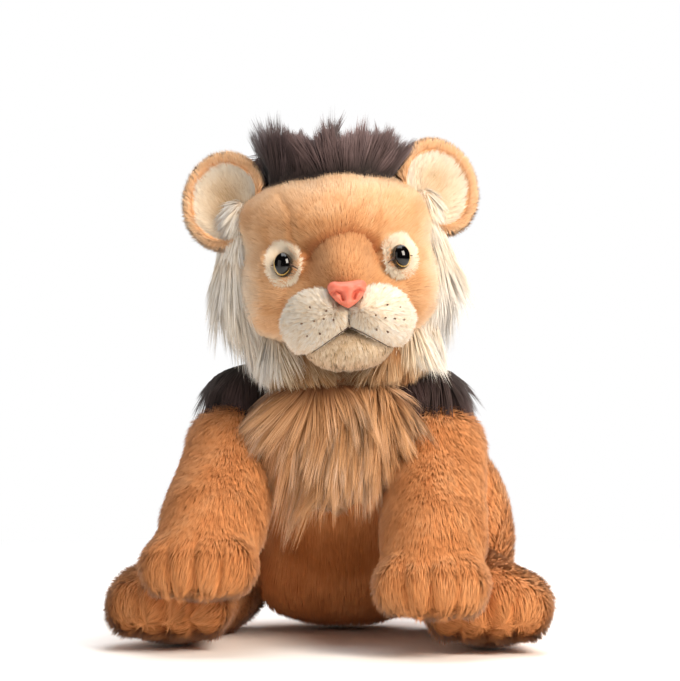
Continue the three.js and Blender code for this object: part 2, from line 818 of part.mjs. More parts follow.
// Torso skin, its filling and the pellet bag under it
const limbRooms = [...forelegRooms, ...hindlegRooms, tailRoom];
const torsoInner = torso.solid(innerFacets, -plushWall);
const torsoSkin = cutBy(torso.solid(bodyFacets).subtract(torsoInner), [belowFloor, torsoTopCut, ...limbRooms]);
const pelletHalf = new Vector3(pelletBagWidth, pelletBagDepth, pelletBagHeight).divideScalar(2);
const pelletAt = new Vector3(0, -pelletBagLean, pelletBagLift);
const pelletForm = stuffed({
  members: [lobe(pelletAt, pelletHalf)], round: smallSeamRound, core: pelletAt, reach: pelletBagDepth,
});
const slitHalf = pelletHalf.clone().multiplyScalar(0.53);
const underBag = slab(pelletAt.clone().sub(slitHalf).setZ(0), pelletAt.clone().add(slitHalf).setZ(pelletAt.z));
const torsoFilling = cutBy(torso.solid(innerFacets, -plushWall - seatGap), [
  torsoTopCut,
  ...limbRooms,
  pelletForm.solid(innerFacets, seatGap),
  underBag,
]);

// Long pile on the torso: the cape over the shoulders and the bib on the chest.
const torsoSeat = torso.solid(bodyFacets, seatGap);
const capeAt = new Vector3(0, -capeLean, capeLift);
const capeHalf = new Vector3(capeWidth, capeDepth, capeHeight).divideScalar(2);
const capeForm = stuffed({
  members: [
    lobe(capeAt, capeHalf),
    ...sides.map(({ sign }) => (
      lobeByShares(capeAt, capeHalf, shares(sign * 0.68, -0.4, 0.14), shares(0.42, 0.5, 0.62))
    )),
  ],
  round: seamRound,
  core: capeAt,
  reach: capeWidth,
});
const bibAt = new Vector3(0, -bibLean, bibLift);
const bibHalf = new Vector3(bibWidth, bibDepth, bibHeight).divideScalar(2);
const bibForm = stuffed({
  members: [
    lobe(bibAt, bibHalf),
    lobeByShares(bibAt, bibHalf, shares(0, 0, -0.5), shares(0.55, 0.9, 0.56)),
  ],
  round: smallSeamRound,
  core: bibAt,
  reach: bibWidth,
});
const cape = cutBy(capeForm.solid(pileFacets), [torsoSeat, torsoTopCut, ...forelegRooms, ...hindlegRooms]);
const bib = cutBy(bibForm.solid(pileFacets), [
  torsoSeat, torsoTopCut, ...forelegRooms, capeForm.solid(pileFacets, seatGap),
]);

// Limbs: each a plush skin, open at its root, with its own filling.
function rootOpening(pivot, radius) {
  const inward = torsoCore.clone().sub(pivot).normalize();
  const ball = new THREE.IcosahedronGeometry(radius, innerFacets);
  const at = pivot.clone().addScaledVector(inward, radius);
  return toSolid(ball.translate(at.x, at.y, at.z));
}

function limb({ form, pivot }, openingRadius, cutters) {
  const opening = rootOpening(pivot, openingRadius);
  const skin = cutBy(
    form.solid(limbFacets).subtract(form.solid(innerFacets, -plushWall)),
    [opening, ...cutters],
  );
  const filling = form.solid(innerFacets, -plushWall - seatGap).subtract(opening);
  return { skin, filling: cutBy(filling, cutters) };
}

// Assembly
const lion = new THREE.Group();

function addPiece(parent, name, solid, material, pivot = new Vector3()) {
  const geometry = toGeometry(solid).translate(-pivot.x, -pivot.y, -pivot.z);
  const mesh = new THREE.Mesh(geometry, material);
  mesh.name = name;
  parent.add(mesh);
  return mesh;
}

function groupAt(pivot) {
  const group = new THREE.Group();
  group.position.copy(pivot);
  lion.add(group);
  return group;
}

addPiece(lion, 'torso_skin', torsoSkin, pile(colours.orangeTan));
addPiece(lion, 'torso_filling', torsoFilling, pile(colours.fibreWhite));
addPiece(lion, 'rump_pellet_bag', pelletForm.solid(innerFacets), pile(colours.pelletCloth));
addPiece(lion, 'mane_cape', cape, pile(colours.maneBrown));
addPiece(lion, 'chest_bib', bib, pile(colours.bibBrown));

sides.forEach(({ name }, i) => {
  const fore = limb(forelegs[i], shoulderDiameter * 0.4, [
    belowFloor,
    hindlegs[i].form.solid(limbFacets, turnGap),
  ]);
  const foreGroup = groupAt(forelegs[i].pivot);
  addPiece(foreGroup, `foreleg_${name}`, fore.skin, pile(colours.orangeTan), forelegs[i].pivot);
  addPiece(foreGroup, `foreleg_filling_${name}`, fore.filling, pile(colours.fibreWhite), forelegs[i].pivot);
  const hind = limb(hindlegs[i], haunchDiameter * 0.4, [belowFloor]);
  const hindGroup = groupAt(hindlegs[i].pivot);
  addPiece(hindGroup, `hindleg_${name}`, hind.skin, pile(colours.orangeTan), hindlegs[i].pivot);
  addPiece(hindGroup, `hindleg_filling_${name}`, hind.filling, pile(colours.fibreWhite), hindlegs[i].pivot);
});

const tailGroup = groupAt(tailRoot);
addPiece(tailGroup, 'tail', toSolid(tailGeometry(0, tailEndShare, 0)), pile(colours.orangeTan), tailRoot);
addPiece(tailGroup, 'tail_tuft', cutBy(tuft.solid(innerFacets), [
  belowFloor,
  toSolid(tailGeometry(0, tailEndShare, seatGap)),
]), pile(colours.maneBrown), tailRoot);

const headGroup = new THREE.Group();
headGroup.position.copy(headPlace.position);
headGroup.rotation.copy(headPlace.rotation);
lion.add(headGroup);
addPiece(headGroup, 'head_skin', headSkin, pile(colours.tan));
addPiece(headGroup, 'head_filling', headFilling, pile(colours.fibreWhite));
addPiece(headGroup, 'mane_crown', crown, pile(colours.maneBrown));
addPiece(headGroup, 'chin', chin, pile(colours.cream));
addPiece(headGroup, 'nose', noseSolid, plastic(colours.noseSalmon));
addPiece(
  headGroup,
  'nose_washer',
  toSolid(onFace(washerGeometry(noseWall, 0), noseRoot, noseAim)),
  plastic(colours.washerWhite),
);

sides.forEach(({ name }, i) => {
  const { at, aim, wall } = eyes[i];
  addPiece(headGroup, `eye_${name}`, toSolid(onFace(eyeGeometry(wall, 0), at, aim)), plastic(colours.eyeBlack));
  addPiece(headGroup, `eye_patch_${name}`, eyePatches[i], pile(colours.cream));
  addPiece(
    headGroup,
    `eye_washer_${name}`,
    toSolid(onFace(washerGeometry(wall, 0), at, aim)),
    plastic(colours.washerWhite),
  );
  addPiece(headGroup, `muzzle_pad_${name}`, pads[i], pile(colours.cream));
  addPiece(headGroup, `ear_${name}`, earSkins[i], pile(colours.tan));
  addPiece(headGroup, `ear_lining_${name}`, earLinings[i], pile(colours.earCream));
  addPiece(headGroup, `ruff_${name}`, ruffs[i], pile(colours.ruffWhite));
});

export default lion;
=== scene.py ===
import math

import bmesh
import bpy
import numpy as np
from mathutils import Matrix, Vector


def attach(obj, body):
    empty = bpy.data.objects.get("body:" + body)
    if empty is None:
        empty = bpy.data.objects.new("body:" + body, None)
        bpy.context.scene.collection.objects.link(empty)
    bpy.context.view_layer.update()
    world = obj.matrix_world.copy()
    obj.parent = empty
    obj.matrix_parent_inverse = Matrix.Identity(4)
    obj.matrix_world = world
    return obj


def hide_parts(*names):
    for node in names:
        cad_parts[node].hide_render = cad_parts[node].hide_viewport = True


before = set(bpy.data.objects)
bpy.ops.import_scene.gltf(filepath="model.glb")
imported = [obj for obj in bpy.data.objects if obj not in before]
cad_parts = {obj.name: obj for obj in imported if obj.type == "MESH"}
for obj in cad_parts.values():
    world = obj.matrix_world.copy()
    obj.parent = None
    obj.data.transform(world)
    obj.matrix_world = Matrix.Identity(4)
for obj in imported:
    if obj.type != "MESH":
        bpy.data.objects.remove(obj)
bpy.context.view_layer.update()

bl_info = {
    "name": "Plush lion",
    "version": (1, 0, 0),
    "blender": (4, 5, 0),
    "location": "View3D > Sidebar > Plush lion",
    "description": "Builds a sitting plush lion with brushed pile, a shaggy mane and safety eyes",
    "category": "Object",
}

MM = 0.001
SIDES = (("left", 1), ("right", -1))
UP = np.array((0.0, 0.0, 1.0))

# How fine the stuffed forms are: the subdivisions of the ball that each is cast from
COARSE, MEDIUM, FINE, FINEST = 4, 5, 6, 7

# A hair's mesh: its sides, how its radius falls to the tip, the waves of its curl in radians and the lowest place
# of any point. Its UV map holds its tone across and its height up, so that the material can read both.
HAIR_SIDES, HAIR_TAPER, HAIR_WAVES, FLOOR_CLEAR = 3, 0.7, 5.2, 0.3
BAKE_MAP, UV_HALF_WIDTH, UV_EDGE = "OFBake", 0.012, 0.01

# How single hairs vary in length and width, as shares, and how far apart their lie changes: for the way they leave
# the skin and the way they bend in widths of a lock, for their curl in millimetres
HAIR_LENGTHS, HAIR_WIDTHS = (0.72, 1.08), (0.7, 1.2)
SWIRL_CELL, BEND_CELL, CURL_CELL = 1.7, 2.3, 7

# The sizes of part.mjs that the soft forms share with it, in millimetres.
SEAM_ROUND = 14
SMALL_ROUND = 6
RUMP_AT, RUMP_HALF = np.array((0, 0, 49.5)), np.array((75, 59, 50))
CHEST_AT, CHEST_HALF = np.array((0, -57, 122)), np.array((60, 42, 54))
SKULL_HALF = np.array((60.0, 58.0, 55.0))
HEAD_AT, HEAD_YAW, HEAD_ROLL = np.array((0, -61, 242)), 8, 4
SHOULDER = {"left": (63, -61, 119), "right": (-63, -61, 119)}
FOREPAW = {"left": (66, -155, 47), "right": (-77, -149, 57)}
FOREPAW_HALF = np.array((38, 29, 27))
HIP = {"left": (76, -3, 61.5), "right": (-76, -3, 61.5)}
HINDPAW = {"left": (99, -119, 29), "right": (-99, -113, 29)}
HINDPAW_HALF = np.array((43, 36, 29.5))
PAD_AT, PAD_HALF = np.array((17.5, -69, -38)), np.array((23, 19, 20.5))
CHIN_AT, CHIN_HALF = np.array((0, -61, -54)), np.array((27, 19, 14))
EYE_RADIUS, EYE_DOME, EYE_SINK, EYE_SPREAD = 7.5, 5.5, 0.8, 70
NOSE_HALF, NOSE_PROUD, NOSE_DROP = (12.5, 8.5), 9, 21
EAR_HALF, EAR_CUP, EAR_WALL = (27, 31), 13, 6
TAIL_SPINE = ((0, 48, 28), (6, 67, 19), (34, 78, 10), (74, 74, 10), (100, 61, 10))
POUCH_AT, POUCH_HALF = (0, -8, 36), (29, 33, 18)

# The crest of the mane: the height where it ends, its peaks (across, up) and how far below its top the pad ends
CREST_TOP, CREST_PEAKS, CREST_DEPTH = 80, ((-34, 8), (-16, 4), (0, 13), (18, 5), (32, 6)), 9

random = np.random.default_rng(11)


# Vectors and noise, on arrays of points

# Large odd numbers that scatter the values of the noise over its cells
CELL_CODES, SEED_CODE, SCATTER_CODE = (73856093, 19349663, 83492791), 2654435761, 1274126177


def unit(vectors):
    return vectors / np.maximum(np.linalg.norm(vectors, axis=-1, keepdims=True), 1e-9)


def dot(a, b):
    return np.sum(a * b, axis=-1, keepdims=True)


def flatten(vectors, normals):
    """The part of each vector that lies in the surface."""
    return unit(vectors - dot(vectors, normals) * normals)


def smooth(low, high, values):
    """0 at low, 1 at high and a smooth rise between them; low may be the larger one."""
    share = np.clip((values - low) / (high - low), 0, 1)
    return share * share * (3 - 2 * share)


def noise(points, cell, seed):
    """Smooth noise from -1 to 1 that changes over cells of the given size."""
    grid = points / cell + 1000
    low = np.floor(grid).astype(np.int64)
    share = grid - low
    share = share * share * (3 - 2 * share)
    total = np.zeros(len(points))
    for corner in np.ndindex(2, 2, 2):
        x, y, z = ((low + corner) * CELL_CODES).T
        code = x ^ y ^ z ^ (seed * SEED_CODE)
        code = (code ^ (code >> 13)) * SCATTER_CODE
        value = ((code >> 8) & 0xFFFF) / 32767.5 - 1
        total += value * np.prod(np.where(np.array(corner), share, 1 - share), axis=1)
    return total


def noise_vectors(points, cell, seed):
    return np.stack([noise(points, cell, seed + axis) for axis in range(3)], axis=1)


def rotation(axis, degrees):
    """The matrix of a turn about X, Y or Z, which are axis 0, 1 and 2."""
    cos, sin = math.cos(math.radians(degrees)), math.sin(math.radians(degrees))
    first, second = (axis + 1) % 3, (axis + 2) % 3
    matrix = np.eye(3)
    matrix[first, first] = matrix[second, second] = cos
    matrix[second, first], matrix[first, second] = sin, -sin
    return matrix


HEAD_TURN = rotation(2, HEAD_YAW) @ rotation(1, -HEAD_ROLL)


def placed(points, body):
    """Puts what is built in the head's own frame where the head is, and leaves the rest as it is."""
    return points @ HEAD_TURN.T + HEAD_AT if body == "head" else points


# Stuffed forms: soft unions of lobes and bones, as in part.mjs. Their surface is found by halving a distance.

CAST_STEPS, FRONT_STEPS, SLOPE_STEP = 26, 24, 0.5


def lobe(at, half):
    """The distance to an oval body, near enough for its surface and its blends."""
    at, half = np.array(at, float), np.array(half, float)

    def distance(p):
        q = (p - at) / half
        near, far = np.linalg.norm(q, axis=1), np.linalg.norm(q / half, axis=1)
        return near * (near - 1) / np.maximum(far, 1e-9)

    return distance


WHOLE = ((0, 0, 0), (1, 1, 1))


def lobes(at, half, *shares):
    """Lobes placed and sized by shares of a main one's half sizes. WHOLE is the main one itself."""
    at, half = np.array(at, float), np.array(half, float)
    return [lobe(at + half * place, half * size) for place, size in shares]


def bone(start, end, start_radius, end_radius):
    """The distance to a round bar that tapers from one ball to another."""
    start, end = np.array(start, float), np.array(end, float)
    along = end - start

    def distance(p):
        share = np.clip((p - start) @ along / (along @ along), 0, 1)
        axis_point = start + share[:, None] * along
        return np.linalg.norm(p - axis_point, axis=1) - (start_radius + (end_radius - start_radius) * share)

    return distance


class Form:
    """A soft union of members, cast from its core, with a stretch that crowds points where the form is long."""

    def __init__(self, members, softness, core, reach, stretch=(1, 1, 1)):
        self.members, self.softness = members, softness
        self.core, self.reach, self.stretch = np.array(core, float), reach, np.array(stretch, float)

    def distance(self, p):
        total = self.members[0](p)
        for member in self.members[1:]:
            other = member(p)
            nearness = np.maximum(self.softness - np.abs(total - other), 0) / self.softness
            total = np.minimum(total, other) - nearness * nearness * self.softness / 4
        return total

    def cast(self, directions, grow=0.0):
        inside = np.zeros(len(directions))
        outside = np.full(len(directions), float(self.reach))
        for _ in range(CAST_STEPS):
            middle = (inside + outside) / 2
            within = self.distance(self.core + directions * middle[:, None]) < grow
            inside, outside = np.where(within, middle, inside), np.where(within, outside, middle)
        return self.core + directions * inside[:, None]

    def normal(self, p):
        steps = SLOPE_STEP * np.eye(3)
        slope = [self.distance(p + step) - self.distance(p - step) for step in steps]
        return unit(np.stack(slope, axis=1))

    def surface(self, level, grow=0.0, relief=None):
        """A fine closed mesh of the form: points and triangles."""
        ball = bmesh.new()
        bmesh.ops.create_icosphere(ball, subdivisions=level, radius=1)
        directions = unit(np.array([v.co for v in ball.verts]) * self.stretch)
        triangles = np.array([[v.index for v in face.verts] for face in ball.faces])
        ball.free()
        points = self.cast(directions, grow)
        if relief is not None:
            points = points + self.normal(points) * relief(points)[:, None]
        return points, triangles


def vertex_normals(points, triangles):
    a, b, c = (points[triangles[:, k]] for k in range(3))
    faces = np.cross(b - a, c - a)
    normals = np.zeros_like(points)
    for k in range(3):
        np.add.at(normals, triangles[:, k], faces)
    return unit(normals)


# Materials

MIX_A, MIX_B, MIX_RESULT = 6, 7, 2  # the colour sockets of a mixing node


def linear(code):
    """An sRGB hex colour as linear red, green, blue and alpha."""
    parts = [int(code[i : i + 2], 16) / 255 for i in (1, 3, 5)]
    return tuple(p / 12.92 if p <= 0.04045 else ((p + 0.055) / 1.055) ** 2.4 for p in parts) + (1.0,)


def mid_tint(low, high):
    """The hex colour three quarters of the way from low to high."""
    parts = [(int(low[i : i + 2], 16) + 3 * int(high[i : i + 2], 16)) // 4 for i in (1, 3, 5)]
    return "#%02X%02X%02X" % tuple(parts)


def add_node(tree, kind, links=(), **settings):
    """Adds a node. A setting names a property or an input; a link is (output socket, input name or number)."""
    node = tree.nodes.new("ShaderNode" + kind)
    for name, value in settings.items():
        if hasattr(node, name):
            setattr(node, name, value)
        else:
            node.inputs[name.replace("_", " ")].default_value = value
    for source, name in links:
        tree.links.new(source, node.inputs[name])
    return node


def new_material(name):
    material = bpy.data.materials.new(name)
    material.use_nodes = True
    material.node_tree.nodes.clear()
    return material, material.node_tree


def finish_material(tree, colour, **settings):
    shader = add_node(tree, "BsdfPrincipled", [(colour, "Base Color")], **settings)
    add_node(tree, "OutputMaterial", [(shader.outputs["BSDF"], "Surface")])
    return shader


def fill_ramp(node, stops):
    ramp = node.color_ramp
    while len(ramp.elements) > 1:
        ramp.elements.remove(ramp.elements[-1])
    ramp.elements[0].position, ramp.elements[0].color = stops[0][0], linear(stops[0][1])
    for position, code in stops[1:]:
        ramp.elements.new(position).color = linear(code)


def dyed(tree, colour, dye):
    """The colour multiplied by a dye; white leaves it as it is."""
    mix = add_node(tree, "Mix", [(colour, MIX_A)], data_type="RGBA", blend_type="MULTIPLY", Factor=1.0)
    mix.inputs[MIX_B].default_value = (*dye, 1.0)
    return mix.outputs[MIX_RESULT]


def mottled(tree, cell_mm, stops, **settings):
    """A colour that changes from cell to cell of a real size, and the noise that it comes from."""
    place = add_node(tree, "TexCoord")
    links = [(place.outputs["Object"], "Vector")]
    cloud = add_node(tree, "TexNoise", links, Scale=1 / (cell_mm * MM), **settings)
    ramp = add_node(tree, "ValToRGB", [(cloud.outputs["Fac"], "Fac")])
    fill_ramp(ramp, stops)
    return ramp.outputs["Color"], cloud.outputs["Fac"]


def pile_material(name, stops, root_painted_shade, dye):
    """Polyester plush pile, cut and brushed. The hair's tone picks its colour. It is darker at the root, a painted
    shade between the hairs, so the eye reads depth there, and its sheen gives the soft pale edge that brushed fibre
    has."""
    material, tree = new_material(name)
    place = add_node(tree, "UVMap", uv_map=BAKE_MAP)
    split = add_node(tree, "SeparateXYZ", [(place.outputs["UV"], "Vector")])
    ramp = add_node(tree, "ValToRGB", [(split.outputs["X"], "Fac")])
    fill_ramp(ramp, stops)
    # Painted shade: the colour darkens from the hair's tip to its root, where the other hairs would shade it.
    shade = add_node(tree, "ValToRGB", [(split.outputs["Y"], "Fac")])
    fill_ramp(shade, ((0.0, root_painted_shade), (0.45, mid_tint(root_painted_shade, "#FFFFFF")), (1.0, "#FFFFFF")))
    links = [(ramp.outputs["Color"], MIX_A), (shade.outputs["Color"], MIX_B)]
    mix = add_node(tree, "Mix", links, data_type="RGBA", blend_type="MULTIPLY", Factor=1.0)
    colour = dyed(tree, mix.outputs[MIX_RESULT], dye)
    finish_material(tree, colour, Roughness=0.85, Sheen_Weight=0.14, Sheen_Roughness=0.4, IOR=1.5)
    return material


def cloth_material(name, dark, light, cell_mm, roughness=0.9):
    """Knitted, woven or spun fibre: matt, with fine mottling, so no area reads as flat paint. The real loops and
    threads are a few tenths of a millimetre and too fine to show, so the cells are drawn as coarse as they need."""
    material, tree = new_material(name)
    colour, _ = mottled(tree, cell_mm, ((0.35, dark), (0.65, light)), Detail=3.0)
    finish_material(tree, colour, Roughness=roughness, Sheen_Weight=0.2)
    return material


def vinyl_material(name, dark, light, cell_mm, roughness, coat, dye=(1, 1, 1)):
    """Moulded plastic: an even colour with a faint cloudiness from the mould, under a clear skin that takes the
    highlight."""
    material, tree = new_material(name)
    colour, cloud = mottled(tree, cell_mm, ((0.3, dark), (0.7, light)), Detail=2.0)
    bump = add_node(tree, "Bump", [(cloud, "Height")], Strength=0.08, Distance=0.2 * MM)
    colour = dyed(tree, colour, dye)
    shader = finish_material(tree, colour, Roughness=roughness, Coat_Weight=coat, Coat_Roughness=0.1, IOR=1.46)
    tree.links.new(bump.outputs["Normal"], shader.inputs["Normal"])
    return material


# Meshes


def mesh_object(name, points, triangles, material, uv=None, normals=None):
    """An object of triangles from points in millimetres, smooth, with the hairs' UVs and normals where given."""
    mesh = bpy.data.meshes.new(name)
    mesh.vertices.add(len(points))
    mesh.vertices.foreach_set("co", np.ascontiguousarray(points * MM, np.float32).ravel())
    mesh.loops.add(triangles.size)
    mesh.loops.foreach_set("vertex_index", np.ascontiguousarray(triangles, np.int32).ravel())
    mesh.polygons.add(len(triangles))
    mesh.polygons.foreach_set("loop_start", np.arange(0, triangles.size, 3, dtype=np.int32))
    mesh.polygons.foreach_set("use_smooth", np.ones(len(triangles), bool))
    if uv is not None:
        layer = mesh.uv_layers.new(name=BAKE_MAP)
        layer.data.foreach_set("uv", np.ascontiguousarray(uv, np.float32).ravel())
    mesh.update(calc_edges=True)
    mesh.validate()
    if normals is not None:
        mesh.normals_split_custom_set_from_vertices(normals)
    mesh.materials.append(material)
    made = bpy.data.objects.new(name, mesh)
    bpy.context.scene.collection.objects.link(made)
    return made


def add_piece(name, body, look, points, triangles, uv=None, normals=None):
    """Makes a mesh of one look, on its body and in its slot."""
    made = mesh_object(name, points, triangles, materials()[look], uv, normals)
    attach(made, body)
    return made


def add_skin(name, body, look, skin, replaced=None):
    """Makes a piece of points and triangles. It can stand for a solid of the CAD and can be padded."""
    points, triangles = skin
    made = add_piece(name, body, look, placed(points, body), triangles)
    if replaced:
        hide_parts(replaced)


def strands(root, normal, start, bend, curl, length, width, tone, rings, fade):
    """Closed hairs that taper from root to tip: points, triangles, UVs and normals. Start is the way each leaves
    the skin and bend is how far it has swung by its tip, both as shares of its length. Curl is how far it waves,
    in millimetres, and fade how much lighter its tip is."""
    count, sides = len(root), HAIR_SIDES
    side = unit(np.cross(start, random.normal(size=(count, 3))))
    other = np.cross(unit(start), side)
    per = rings * sides + 1
    points = np.empty((count, per, 3))
    for ring in range(rings):
        share = ring / rings
        wave = curl * math.sin(HAIR_WAVES * share) * share
        centre = root + length[:, None] * (start * share + bend * share * share) + wave
        radius = (width / 2 * (1 - share) ** HAIR_TAPER)[:, None]
        for k in range(sides):
            angle = 2 * math.pi * k / sides
            points[:, ring * sides + k] = centre + radius * (math.cos(angle) * side + math.sin(angle) * other)
    points[:, -1] = root + length[:, None] * (start + bend) + curl * math.sin(HAIR_WAVES)
    points[:, :, 2] = np.maximum(points[:, :, 2], FLOOR_CLEAR)
    faces = [(0, 2, 1)]
    for ring in range(rings - 1):
        for k in range(sides):
            a, b = ring * sides + k, ring * sides + (k + 1) % sides
            faces += [(a, b, b + sides), (a, b + sides, a + sides)]
    last = (rings - 1) * sides
    faces += [(last + k, last + (k + 1) % sides, rings * sides) for k in range(sides)]
    triangles = (np.array(faces)[None] + (np.arange(count) * per)[:, None, None]).reshape(-1, 3)
    shift = np.append(np.tile((-UV_HALF_WIDTH, UV_HALF_WIDTH, 0), rings), 0)
    height = np.append(np.repeat(np.arange(rings) / rings, sides), 1.0)
    u = np.clip(tone[:, None] + shift[None] + fade * height[None], UV_EDGE, 1 - UV_EDGE)
    v = np.broadcast_to(np.clip(height, UV_EDGE, 1 - UV_EDGE), u.shape)
    uv = np.stack([u, v], axis=2).reshape(-1, 2)[triangles.ravel()]
    return points.reshape(-1, 3), triangles, uv, np.repeat(normal, per, axis=0)


def sample(points, triangles, count):
    """Random points, spread evenly over the mesh, with smooth normals."""
    normals = vertex_normals(points, triangles)
    a, b, c = (points[triangles[:, k]] for k in range(3))
    area = np.linalg.norm(np.cross(b - a, c - a), axis=1)
    face = random.choice(len(triangles), size=count, p=area / area.sum())
    first, second = random.random(count), random.random(count)
    fold = first + second > 1
    first, second = np.where(fold, 1 - first, first), np.where(fold, 1 - second, second)
    weights = np.stack([1 - first - second, first, second], axis=1)[:, :, None]
    corners = triangles[face]
    return np.sum(points[corners] * weights, axis=1), unit(np.sum(normals[corners] * weights, axis=1))


def nearest(points, seats, batch=2000):
    """For each point the number of the nearest seat, worked out in batches to spare memory."""
    owner = np.empty(len(points), int)
    for first in range(0, len(points), batch):
        part = points[first : first + batch]
        gaps = np.sum(part * part, 1)[:, None] - 2 * part @ seats.T + np.sum(seats * seats, 1)[None]
        owner[first : first + batch] = np.argmin(gaps, axis=1)
    return owner


def coat(
    name, body, look, skin, count, groom, length, width, tone, keep=None, rings=1, free=False,
    lift=0.45, spread=0.25, wave=0.0, droop=0.3, sag=0.0, curl=0.0, clump=0.0, clump_size=9.0,
    tufts=0.0, speckle=0.05, fade=0.0, shade_by_skin=0.85,
):
    """Grows pile on a skin. Groom gives the lie of the pile, tone its colour and keep where it grows. The lie stays
    in the surface unless the pile is free. Lift stands the hairs up, spread and wave part them, droop bends them on
    along their lie, sag down and curl to and fro. Clump draws their tips together in locks that are clump_size wide,
    and tufts and speckle vary the locks in length and in tone."""
    root, normal = sample(*skin, count)
    if keep is not None:
        wanted = keep(root)
        root, normal = root[wanted], normal[wanted]
    lie = unit(groom(root)) if free else flatten(groom(root), normal)
    swirl = noise_vectors(root, clump_size * SWIRL_CELL, 3) * (spread + wave)
    swirl = swirl + random.normal(size=root.shape) * spread * 0.5
    start = unit(normal * lift + lie * (1 - lift) + swirl * 0.6)
    long = length(root) if callable(length) else np.full(len(root), float(length))
    long = long * random.uniform(*HAIR_LENGTHS, len(root))
    bend = lie * droop + noise_vectors(root, clump_size * BEND_CELL, 9) * wave - sag * UP
    patch = 0.0
    if clump > 0:
        seats = random.choice(len(root), size=max(len(root) // max(int(clump_size * 3), 1), 1), replace=False)
        owner = nearest(root, root[seats])
        long = long * (1 + tufts * random.uniform(-1, 1, len(seats))[owner])
        patch = random.normal(size=len(seats))[owner] * speckle
        tip = root + long[:, None] * (start + bend)
        own = (root[seats] + (long[:, None] * (start + bend))[seats])[owner]
        bend = bend + (own - tip) * clump / long[:, None]
    shade = np.clip(tone(root) + patch + random.normal(size=len(root)) * speckle, 0.0, 1.0)
    soft = unit(normal * shade_by_skin + unit(start + bend * 0.5) * (1 - shade_by_skin) * 0.9)
    turn = HEAD_TURN.T if body == "head" else np.eye(3)
    widths = np.full(len(root), float(width)) * random.uniform(*HAIR_WIDTHS, len(root))
    waves = noise_vectors(root, CURL_CELL, 31) * curl
    hairs = strands(
        placed(root, body), soft @ turn, start @ turn, bend @ turn, waves, long, widths, shade, rings, fade
    )
    add_piece(name, body, look, *hairs)


# The forms themselves

# Four toes side by side at the end of a paw: how far across each one lies, and how far back
TOES = ((-0.62, -0.5), (-0.22, -0.72), (0.22, -0.72), (0.62, -0.5))


def toes(at, half):
    return lobes(at, half, *(((across, back, -0.14), (0.34, 0.36, 0.68)) for across, back in TOES))


def torso_form():
    """The rump, the waist, the chest and the two shoulders."""
    up = CHEST_AT - RUMP_AT
    shoulders = (((sign * 0.72, 0.14, 0.2), (0.66, 0.86, 0.62)) for _, sign in SIDES)
    members = [
        lobe(RUMP_AT, RUMP_HALF),
        lobe(RUMP_AT + 0.6 * up, RUMP_HALF + 0.75 * (CHEST_HALF - RUMP_HALF)),
        *lobes(CHEST_AT, CHEST_HALF, WHOLE, *shoulders),
    ]
    return Form(members, SEAM_ROUND, RUMP_AT + 0.57 * up, 258)


def foreleg_form(side):
    """The ball in the shoulder, the leg, the paw and its toes."""
    shoulder, paw = np.array(SHOULDER[side], float), np.array(FOREPAW[side], float)
    wrist = shoulder + 0.8 * (paw - shoulder)
    members = [
        lobe(shoulder, (34, 34, 34)),
        bone(shoulder, wrist, 31.3, 32),
        lobe(paw, FOREPAW_HALF),
        *toes(paw, FOREPAW_HALF),
    ]
    return Form(members, SEAM_ROUND, shoulder + 0.55 * (paw - shoulder), 200, (1, 1.6, 1.6))


def hindleg_form(side):
    """The haunch, the shank on the floor, the paw and its toes."""
    hip, paw = np.array(HIP[side], float), np.array(HINDPAW[side], float)
    shank = 30.0
    under = np.array((hip[0], hip[1], shank))
    knee, ankle = under + 0.3 * (paw - under), under + 0.8 * (paw - under)
    knee[2] = ankle[2] = shank
    members = [
        lobe(hip, (40, 40, 62)),
        bone(knee, ankle, shank, 27.6),
        lobe(paw, HINDPAW_HALF),
        *toes(paw, HINDPAW_HALF),
    ]
    return Form(members, SEAM_ROUND, knee + 0.2 * (paw - knee), 245, (1, 1.7, 1))


def head_form():
    """The skull and the brow, a cheek and a temple on each side, then the snout, the jaw and the throat."""
    shares = [WHOLE, ((0, -0.5, 0.36), (0.78, 0.62, 0.62))]
    for _, sign in SIDES:
        shares.append(((sign * 0.5, -0.38, -0.33), (0.55, 0.69, 0.66)))
        shares.append(((sign * 0.48, -0.1, 0.44), (0.54, 0.7, 0.5)))
    shares.append(((0, -0.9, -0.16), (0.36, 0.56, 0.46)))
    shares.append(((0, -0.86, -0.62), (0.57, 0.46, 0.44)))
    shares.append(((0, 0.03, -1.08), (0.84, 0.76, 0.7)))
    return Form(lobes((0, 0, 0), SKULL_HALF, *shares), SEAM_ROUND, (0, 0, 0), 226)


def ruff_form(sign):
    """The panel on the cheek, its top by the ear, its end by the jaw and the part under the chin."""
    half, at = np.array((24.0, 30, 38)), np.array((sign * 62.0, 0, -22))
    top = ((sign * -0.12, 0.14, 1), (0.78, 0.86, 0.9))
    end = ((sign * -0.7, -0.4, -1), (1.4, 1, 0.95))
    under_chin = ((sign * -1.8, -0.95, -1.26), (1, 0.8, 0.6))
    members = lobes(at, half, WHOLE, top, end, under_chin)
    return Form(members, SEAM_ROUND, at + np.array((sign * -0.4, -0.3, -0.5)) * half, 152)


def crown_form():
    """The crest, the back of the head and the nape."""
    back, nape = ((0, 1.2, -0.2), (1.2, 1.15, 1.15)), ((0, 1.55, -1.5), (1.3, 1.5, 1.7))
    return Form(lobes((0, -8, 54), (48, 30, 40), WHOLE, back, nape), SEAM_ROUND, (0, 30, 27), 220)


def cape_form():
    at, sides = (0, -34, 150), (((sign * 0.68, -0.4, 0.14), (0.42, 0.5, 0.62)) for _, sign in SIDES)
    return Form(lobes(at, (86, 56, 50), WHOLE, *sides), SEAM_ROUND, at, 172)


def bib_form():
    at, low = (0, -86, 134), ((0, 0, -0.5), (0.55, 0.9, 0.56))
    return Form(lobes(at, (54, 34, 48), WHOLE, low), SMALL_ROUND, at, 108)


def tuft_form():
    return Form([bone((93.4, 64.3, 13.5), (112.3, 54.8, 15), 12, 15.2)], SMALL_ROUND, (100, 61, 15), 92)


